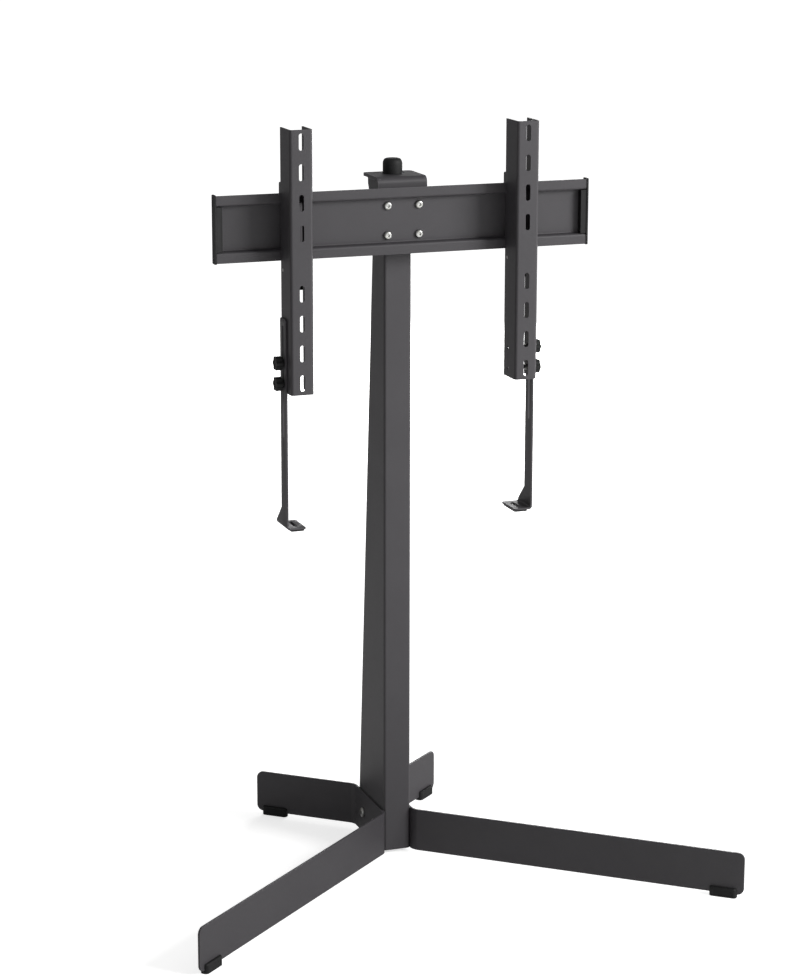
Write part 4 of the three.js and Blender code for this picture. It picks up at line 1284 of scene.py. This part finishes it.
@dataclass
class Arm:
    """A channel with rows of slots that hooks on the rail, with its latch."""

    side: Side
    offset: float = 0.2
    width: float = 0.04
    back: float = 0.025133
    front: float = -0.026267
    bottom: float = 0.865
    top: float = 1.305
    wall: float = 0.0025
    fold: float = 0.0035
    slot_size: Pair = (0.0084, 0.028)
    slot_pitch: float = 0.05
    slot_pairs: int = 4
    hook_seat: float = 1.1963
    hook_top: float = 1.2143
    hook_gap: float = 0.0031
    hook_finger: float = 0.006
    hook_drop: float = 0.009
    hook_round: float = 0.004
    tip_round: float = 0.0015
    pin_place: Pair = (0.015733, 1.07)
    pin_radius: float = 0.003
    stud_bore: float = 0.0033
    stud_y: float = 0.008733
    stud_heights: Pair = (0.88, 0.915)
    latch: Latch = Latch()

    def cross_bore(self, radius: float, y: float, z: float) -> Workpiece:
        """A tool that bores both sides of the arm."""
        return Workpiece.rod(radius, -self.width, self.width, 32).at(0, y, z, ALONG_X)

    def hooked_strip(self) -> Workpiece:
        """Models the middle surface of the channel, with its bends and its two hooks.

        Returns:
            The strip, with its middle at X 0.
        """
        half, front = (self.width - self.wall) / 2, self.front + self.wall / 2
        path = symmetric([Turn(-half, self.back), Turn(-half, front, self.fold)], -1, 1)
        strip = folded_strip(path, self.bottom, self.top)
        seat, top, root = self.hook_seat, self.hook_top, self.back + self.hook_gap
        for height in (seat, top):
            strip.slice((0, 0, height), Z)
        strip.pick(Pick.EDGE, lambda at: at.y > self.back - NEAR and seat + NEAR < at.z < top - NEAR, Z)
        strip.extrude((0, self.hook_gap, 0)).extrude((0, self.hook_finger, 0))
        strip.pick(Pick.EDGE, lambda at: at.y > root + NEAR and at.z < seat + NEAR, Y)
        strip.extrude((0, 0, -self.hook_drop))
        bend(strip, path, 6)
        tip = root + self.hook_finger
        strip.pick(Pick.CORNER, lambda at: at.y > tip - NEAR and at.z > top - NEAR)
        strip.bevel(self.hook_round, 5, corners=True)
        strip.pick(Pick.CORNER, lambda at: at.y > tip - NEAR and at.z < seat - NEAR)
        return strip.bevel(self.tip_round, 3, corners=True)

    def channel(self) -> Workpiece:
        """Models the channel with its hooks, slots and bores.

        Returns:
            The arm, with its middle at X 0.
        """
        strip = self.hooked_strip().thicken(self.wall)
        tools = [self.cross_bore(self.pin_radius + GAP, *self.pin_place)]
        tools += [self.cross_bore(self.stud_bore, self.stud_y, z) for z in self.stud_heights]
        middle = (self.bottom + self.top) / 2
        for pair in range(1, self.slot_pairs + 1):
            for z in (middle - pair * self.slot_pitch, middle + pair * self.slot_pitch):
                tools.append(Workpiece.slot(*self.slot_size, -REACH, REACH).at(0, self.front, z, TO_FRONT))
        return strip.cut(*tools).polish(Edge.SHEET)

    def build(self) -> None:
        """Models the arm, its latch and its pin, and finishes its weld nuts."""
        word, x, half = self.side.word, self.side.value * self.offset, self.width / 2
        body = f"arm_{word}"
        hand_over(self.channel().at(x, 0, 0), f"hook_arm_{word}", COAT, body, body)
        pin = Workpiece.rod(self.pin_radius, -half, half, 32).put(ALONG_X).polish(Edge.PLATE)
        hand_over(pin.at(x, *self.pin_place), f"pin_of_latch_{word}", ZINC, body, f"latch_pin_{word}")
        latch = self.latch.model().at(x, *self.pin_place)
        hand_over(latch, f"lip_latch_{word}", PLASTIC, f"latch_{word}", f"latch_{word}")
        coat_nodes(ZINC, f"weld_nut_lower_{word}", f"weld_nut_upper_{word}")


@dataclass(frozen=True)
class StarKnob:
    """A star knob with six lobes, on a collar and a threaded stud."""

    radius: float = 0.012
    height: float = 0.011
    lobes: int = 6
    scoop: float = 0.0062
    scoop_offset: float = 0.004
    dish_depth: float = 0.0008
    collar: Pair = (0.007, 0.003)
    collar_overlap: float = 0.002
    stud: Pair = (0.003, 0.0134)
    thread_step: float = 0.0005
    thread_share: float = 0.86

    def model(self) -> Workpiece:
        """Models the knob with its collar's face at X 0 and its grip towards +X.

        Returns:
            The knob.
        """
        collar_radius, collar = self.collar
        stud_radius, stud_length = self.stud
        top, high = collar + self.height, collar + 2 * self.height
        grip = Workpiece.rod(self.radius, collar, top, 72)
        tools = []
        for lobe in range(self.lobes):
            turn = about("Z", math.pi * (2 * lobe + 1) / self.lobes)
            out = Matrix.Translation((self.radius + self.scoop_offset, 0, 0))
            tools.append(Workpiece.rod(self.scoop, 0, high, 40).put(turn @ out))
        dish = Workpiece.rod(self.scoop, top - self.dish_depth, high, 40)
        grip.cut(*tools, dish).polish(Edge.GRIP, 3, 30)
        foot = Workpiece.rod(collar_radius, 0, collar + self.collar_overlap, 40).polish(Edge.SHEET)
        stud = Workpiece.rod(stud_radius, -stud_length, collar, 24)
        stud.rib(-stud_length, collar, round(stud_length / self.thread_step), self.thread_share, 0)
        return grip.gather(foot, stud).put(ALONG_X)


@dataclass
class BarBracket:
    """A bent strip that hangs from an arm, with a tab at its foot, a soft pad and star knobs."""

    side: Side
    middle: float = 0.2
    outside: float = 0.0233
    wall: float = 0.003
    fold: float = 0.0045
    front: float = -0.006267
    strip_width: float = 0.03
    strip_slot: Pair = (0.0066, 0.1916)
    slot_middle: float = 0.8825
    tab_depth: float = 0.0575
    tab_width: float = 0.034
    tab_slot: Pair = (0.0064, 0.034)
    tab_middle: float = 0.0033
    tab_round: float = 0.003
    top_round: float = 0.005
    bottom: float = 0.63
    top: float = 0.9903
    spread: float = 0.0275
    pad_width: float = 0.024
    pad_wall: float = 0.003
    pad_margin: float = 0.002
    stud_y: float = 0.008733
    stud_heights: Pair = (0.88, 0.915)
    knob_face: float = 0.0236
    knob: StarKnob = StarKnob()

    def bracket(self) -> Workpiece:
        """Models the bracket for the right side, with the arm's middle at X 0.

        Returns:
            The bracket.
        """
        sheet, tab = self.outside - self.wall / 2, self.bottom + self.wall / 2
        tab_end, back = self.outside - self.tab_width, self.front + self.strip_width
        path = [Turn(sheet, self.top), Turn(sheet, tab), Turn(tab_end, tab)]
        strip = folded_strip(path, -back, -self.front).put(TO_FRONT)
        high = self.bottom + self.wall + self.fold + self.spread
        strip.slice((0, 0, high), Z)
        strip.pick(Pick.EDGE, lambda at: at.y > back - NEAR and at.z < high - NEAR)
        strip.extrude((0, self.tab_depth - self.strip_width, 0))
        strip.pick(Pick.CORNER, lambda at: at.y > back + NEAR and at.z > high - NEAR)
        strip.shift((0, 0, -self.spread))
        strip.pick(Pick.EDGE, lambda at: abs(at.x - sheet) < NEAR and at.z < tab + NEAR, Y)
        strip.bevel(self.fold, 7)
        strip.pick(Pick.CORNER, lambda at: at.z > self.top - NEAR).bevel(self.top_round, 6, corners=True)
        strip.pick(Pick.CORNER, lambda at: at.x < tab_end + NEAR).bevel(self.tab_round, 5, corners=True)
        slot = Workpiece.slot(*self.strip_slot, -REACH, REACH)
        slot.at(sheet, self.stud_y, self.slot_middle, ALONG_X)
        tab_slot = Workpiece.slot(*self.tab_slot, self.bottom - REACH, self.bottom + REACH)
        tab_slot.at(self.tab_middle, self.front + self.tab_depth / 2, 0)
        return strip.thicken(self.wall).cut(slot, tab_slot).polish(Edge.SHEET)

    def pad(self) -> Workpiece:
        """Models the soft pad under the tab.

        Returns:
            The pad, with the arm's middle at X 0.
        """
        size, top = (self.pad_width, self.tab_depth - 2 * self.pad_margin), self.bottom - GAP
        pad = Workpiece.post(size, top - self.pad_wall, top)
        pad.pick(Pick.EDGE, along=Z).bevel(self.tab_round, 5)
        pad.cut(Workpiece.slot(*self.tab_slot, self.bottom - REACH, self.bottom + REACH))
        return pad.polish(Edge.PLATE).at(self.tab_middle, self.front + self.tab_depth / 2, 0)

    def build(self) -> None:
        """Models the bracket, its pad and its knobs."""
        side, word, x = self.side, self.side.word, self.side.value * self.middle
        body = f"bracket_{word}"
        bracket, pad = self.bracket().on_side(side, x, 0, 0), self.pad().on_side(side, x, 0, 0)
        hand_over(bracket, f"hanging_bracket_{word}", COAT, body, f"bar_bracket_{word}")
        hand_over(pad, f"soft_pad_{word}", RUBBER, body, f"bar_pad_{word}")
        turn = about("Z", math.pi if side is Side.LEFT else 0)
        for place, z in zip(("lower", "upper"), self.stud_heights):
            knob = self.knob.model().at(x + side.value * self.knob_face, self.stud_y, z, turn)
            node = f"knob_{place}_{word}"
            hand_over(knob, f"star_knob_{place}_{word}", PLASTIC, node, node)


@dataclass(frozen=True)
class Lamp:
    """A soft square lamp that points at the middle of the stand."""

    name: str
    place: tuple[float, float, float]
    size: float
    watts: float
    target: tuple[float, float, float] = (0.0, 0.0, 0.6)

    def light(self) -> None:
        """Adds the lamp to the studio."""
        deselect()
        bpy.ops.object.light_add(type="AREA", location=self.place)
        lamp = bpy.context.object
        lamp.name = f"{self.name}_lamp"
        lamp.data.shape = "SQUARE"
        lamp.data.size = self.size
        lamp.data.energy = self.watts
        lamp.rotation_euler = (Vector(self.target) - Vector(self.place)).to_track_quat("-Z", "Y").to_euler()


@dataclass
class Studio:
    """A plain pale floor, soft lamps and the camera at the photograph's angle."""

    eye: tuple[float, float, float] = (-1.6053, -4.3438, 1.8158)
    yaw: float = math.radians(20.064)
    pitch: float = math.radians(13.729)
    roll: float = math.radians(0.092)
    focal_px: float = 2792.3
    frame_px: tuple[int, int] = (800, 976)
    sensor: float = 36.0
    floor_size: float = 80.0
    floor_colours: tuple[str, str] = ("#e6e6e6", "#e9e9e8")
    white: tuple[float, float, float, float] = (1, 1, 1, 1)
    # The floor's glow for the camera, near the stand and far from it, and the distances where it changes.
    glow: Pair = (0.65, 0.85)
    glow_reach: Pair = (1.2, 4.5)
    sky_light: float = 0.3
    bright_side: tuple[float, float, float] = (0.75, -0.66, 0.0)
    flags: Pair = (0.3, 1.5)
    lamps: tuple[Lamp, ...] = (
        Lamp("key", (3.7, -3.4, 3.0), 2.2, 300.0),
        Lamp("back", (3.0, 4.2, 1.1), 2.0, 200.0),
    )

    def seen(self, tree: Tree, toward: Socket) -> Node:
        """How much of the white background a ray sees.

        The camera sees it all. Mirrored in the stand it is white only on the key lamp's side, away from the
        stand, like in a studio with black flags close to the other sides.

        Args:
            tree: the node tree to add the nodes to.
            toward: where the background is seen, from the middle of the floor.

        Returns:
            Up to 1 for a ray from the camera, a mirror or glass, and 0 for any other.
        """
        path = add_node(tree, "LightPath").outputs
        rays = {0: path["Is Glossy Ray"], 1: path["Is Transmission Ray"]}
        mirrored = add_node(tree, "Math", {"operation": "MAXIMUM", **rays})
        lean = add_node(tree, "VectorMath", {"operation": "DOT_PRODUCT", 0: toward, 1: self.bright_side})
        start, full = self.flags
        between = {"From Min": start, "From Max": full, "Value": lean.outputs["Value"]}
        share = add_node(tree, "MapRange", between)
        dimmed = add_node(tree, "Math", {"operation": "MULTIPLY", 0: mirrored, 1: share})
        return add_node(tree, "Math", {"operation": "MAXIMUM", 0: path["Is Camera Ray"], 1: dimmed})

    def floor(self) -> None:
        """Lays the floor, which glows a little for the camera, so that it is white but for the shadow."""
        deselect()
        bpy.ops.mesh.primitive_plane_add(size=self.floor_size)
        floor = bpy.context.object
        floor.name = "studio_floor"
        paper = bpy.data.materials.new("white_studio_paper")
        tree = empty_tree(paper)
        place = add_node(tree, "TexCoord").outputs["Object"]
        fibre = add_node(tree, "TexNoise", {"Scale": 3.0, "Detail": 2.0, "Vector": place})
        first, second = (linear(colour) for colour in self.floor_colours)
        shades = {MIX_SHARE: fibre, MIX_FIRST: first, MIX_SECOND: second}
        tone = add_node(tree, "Mix", {"data_type": "RGBA", **shades}).outputs[MIX_RESULT]
        matt = add_node(tree, "BsdfDiffuse", {"Color": tone})
        away = add_node(tree, "VectorMath", {"operation": "LENGTH", 0: place}).outputs["Value"]
        near, far = self.glow_reach
        weak, strong = self.glow
        steps = {"From Min": near, "From Max": far, "To Min": weak, "To Max": strong, "Value": away}
        glare = add_node(tree, "MapRange", steps)
        power = add_node(tree, "Math", {"operation": "MULTIPLY", 0: self.seen(tree, place), 1: glare})
        glow = add_node(tree, "Emission", {"Color": self.white, "Strength": power})
        both = add_node(tree, "AddShader", {0: matt, 1: glow})
        add_node(tree, "OutputMaterial", {"Surface": both})
        floor.data.materials.append(paper)

    def sky(self) -> None:
        """Makes the world: soft even light, and white where it is seen."""
        world = bpy.data.worlds.new("studio")
        tree = empty_tree(world)
        light = add_node(tree, "Background", {"Color": self.white, "Strength": self.sky_light})
        white = add_node(tree, "Background", {"Color": self.white, "Strength": 1.0})
        seen = self.seen(tree, add_node(tree, "TexCoord").outputs["Generated"])
        both = add_node(tree, "MixShader", {0: seen, 1: light, 2: white})
        add_node(tree, "OutputWorld", {"Surface": both})
        bpy.context.scene.world = world

    def camera(self) -> None:
        """Adds the camera that the photograph's own corners were fitted to."""
        deselect()
        bpy.ops.object.camera_add(location=self.eye)
        camera = bpy.context.object
        level, fall = math.cos(self.pitch), math.sin(self.pitch)
        ahead = Vector((math.sin(self.yaw) * level, math.cos(self.yaw) * level, -fall))
        right = Vector((math.cos(self.yaw), -math.sin(self.yaw), 0))
        up = right.cross(ahead)
        rolled_right = right * math.cos(self.roll) + up * math.sin(self.roll)
        rolled_up = up * math.cos(self.roll) - right * math.sin(self.roll)
        camera.rotation_euler = Matrix((rolled_right, rolled_up, -ahead)).transposed().to_euler()
        camera.data.sensor_width = self.sensor
        camera.data.lens = self.focal_px * self.sensor / max(self.frame_px)
        camera.data.clip_end = 100
        bpy.context.scene.camera = camera

    def build(self) -> None:
        """Sets up the floor, the world, the lamps and the camera."""
        self.floor()
        self.sky()
        for lamp in self.lamps:
            lamp.light()
        self.camera()
        bpy.context.scene.view_settings.view_transform = "Standard"


def main() -> None:
    """Builds the stand's sub-assemblies in order, then the studio."""
    logging.basicConfig(level=logging.INFO, format="%(name)s %(message)s")
    for part in (Base(), Column(), Pivot(), Head()):
        part.build()
    for side in Side:
        Arm(side).build()
        BarBracket(side).build()
    deselect()
    Studio().build()


if __name__ == "__main__":
    main()
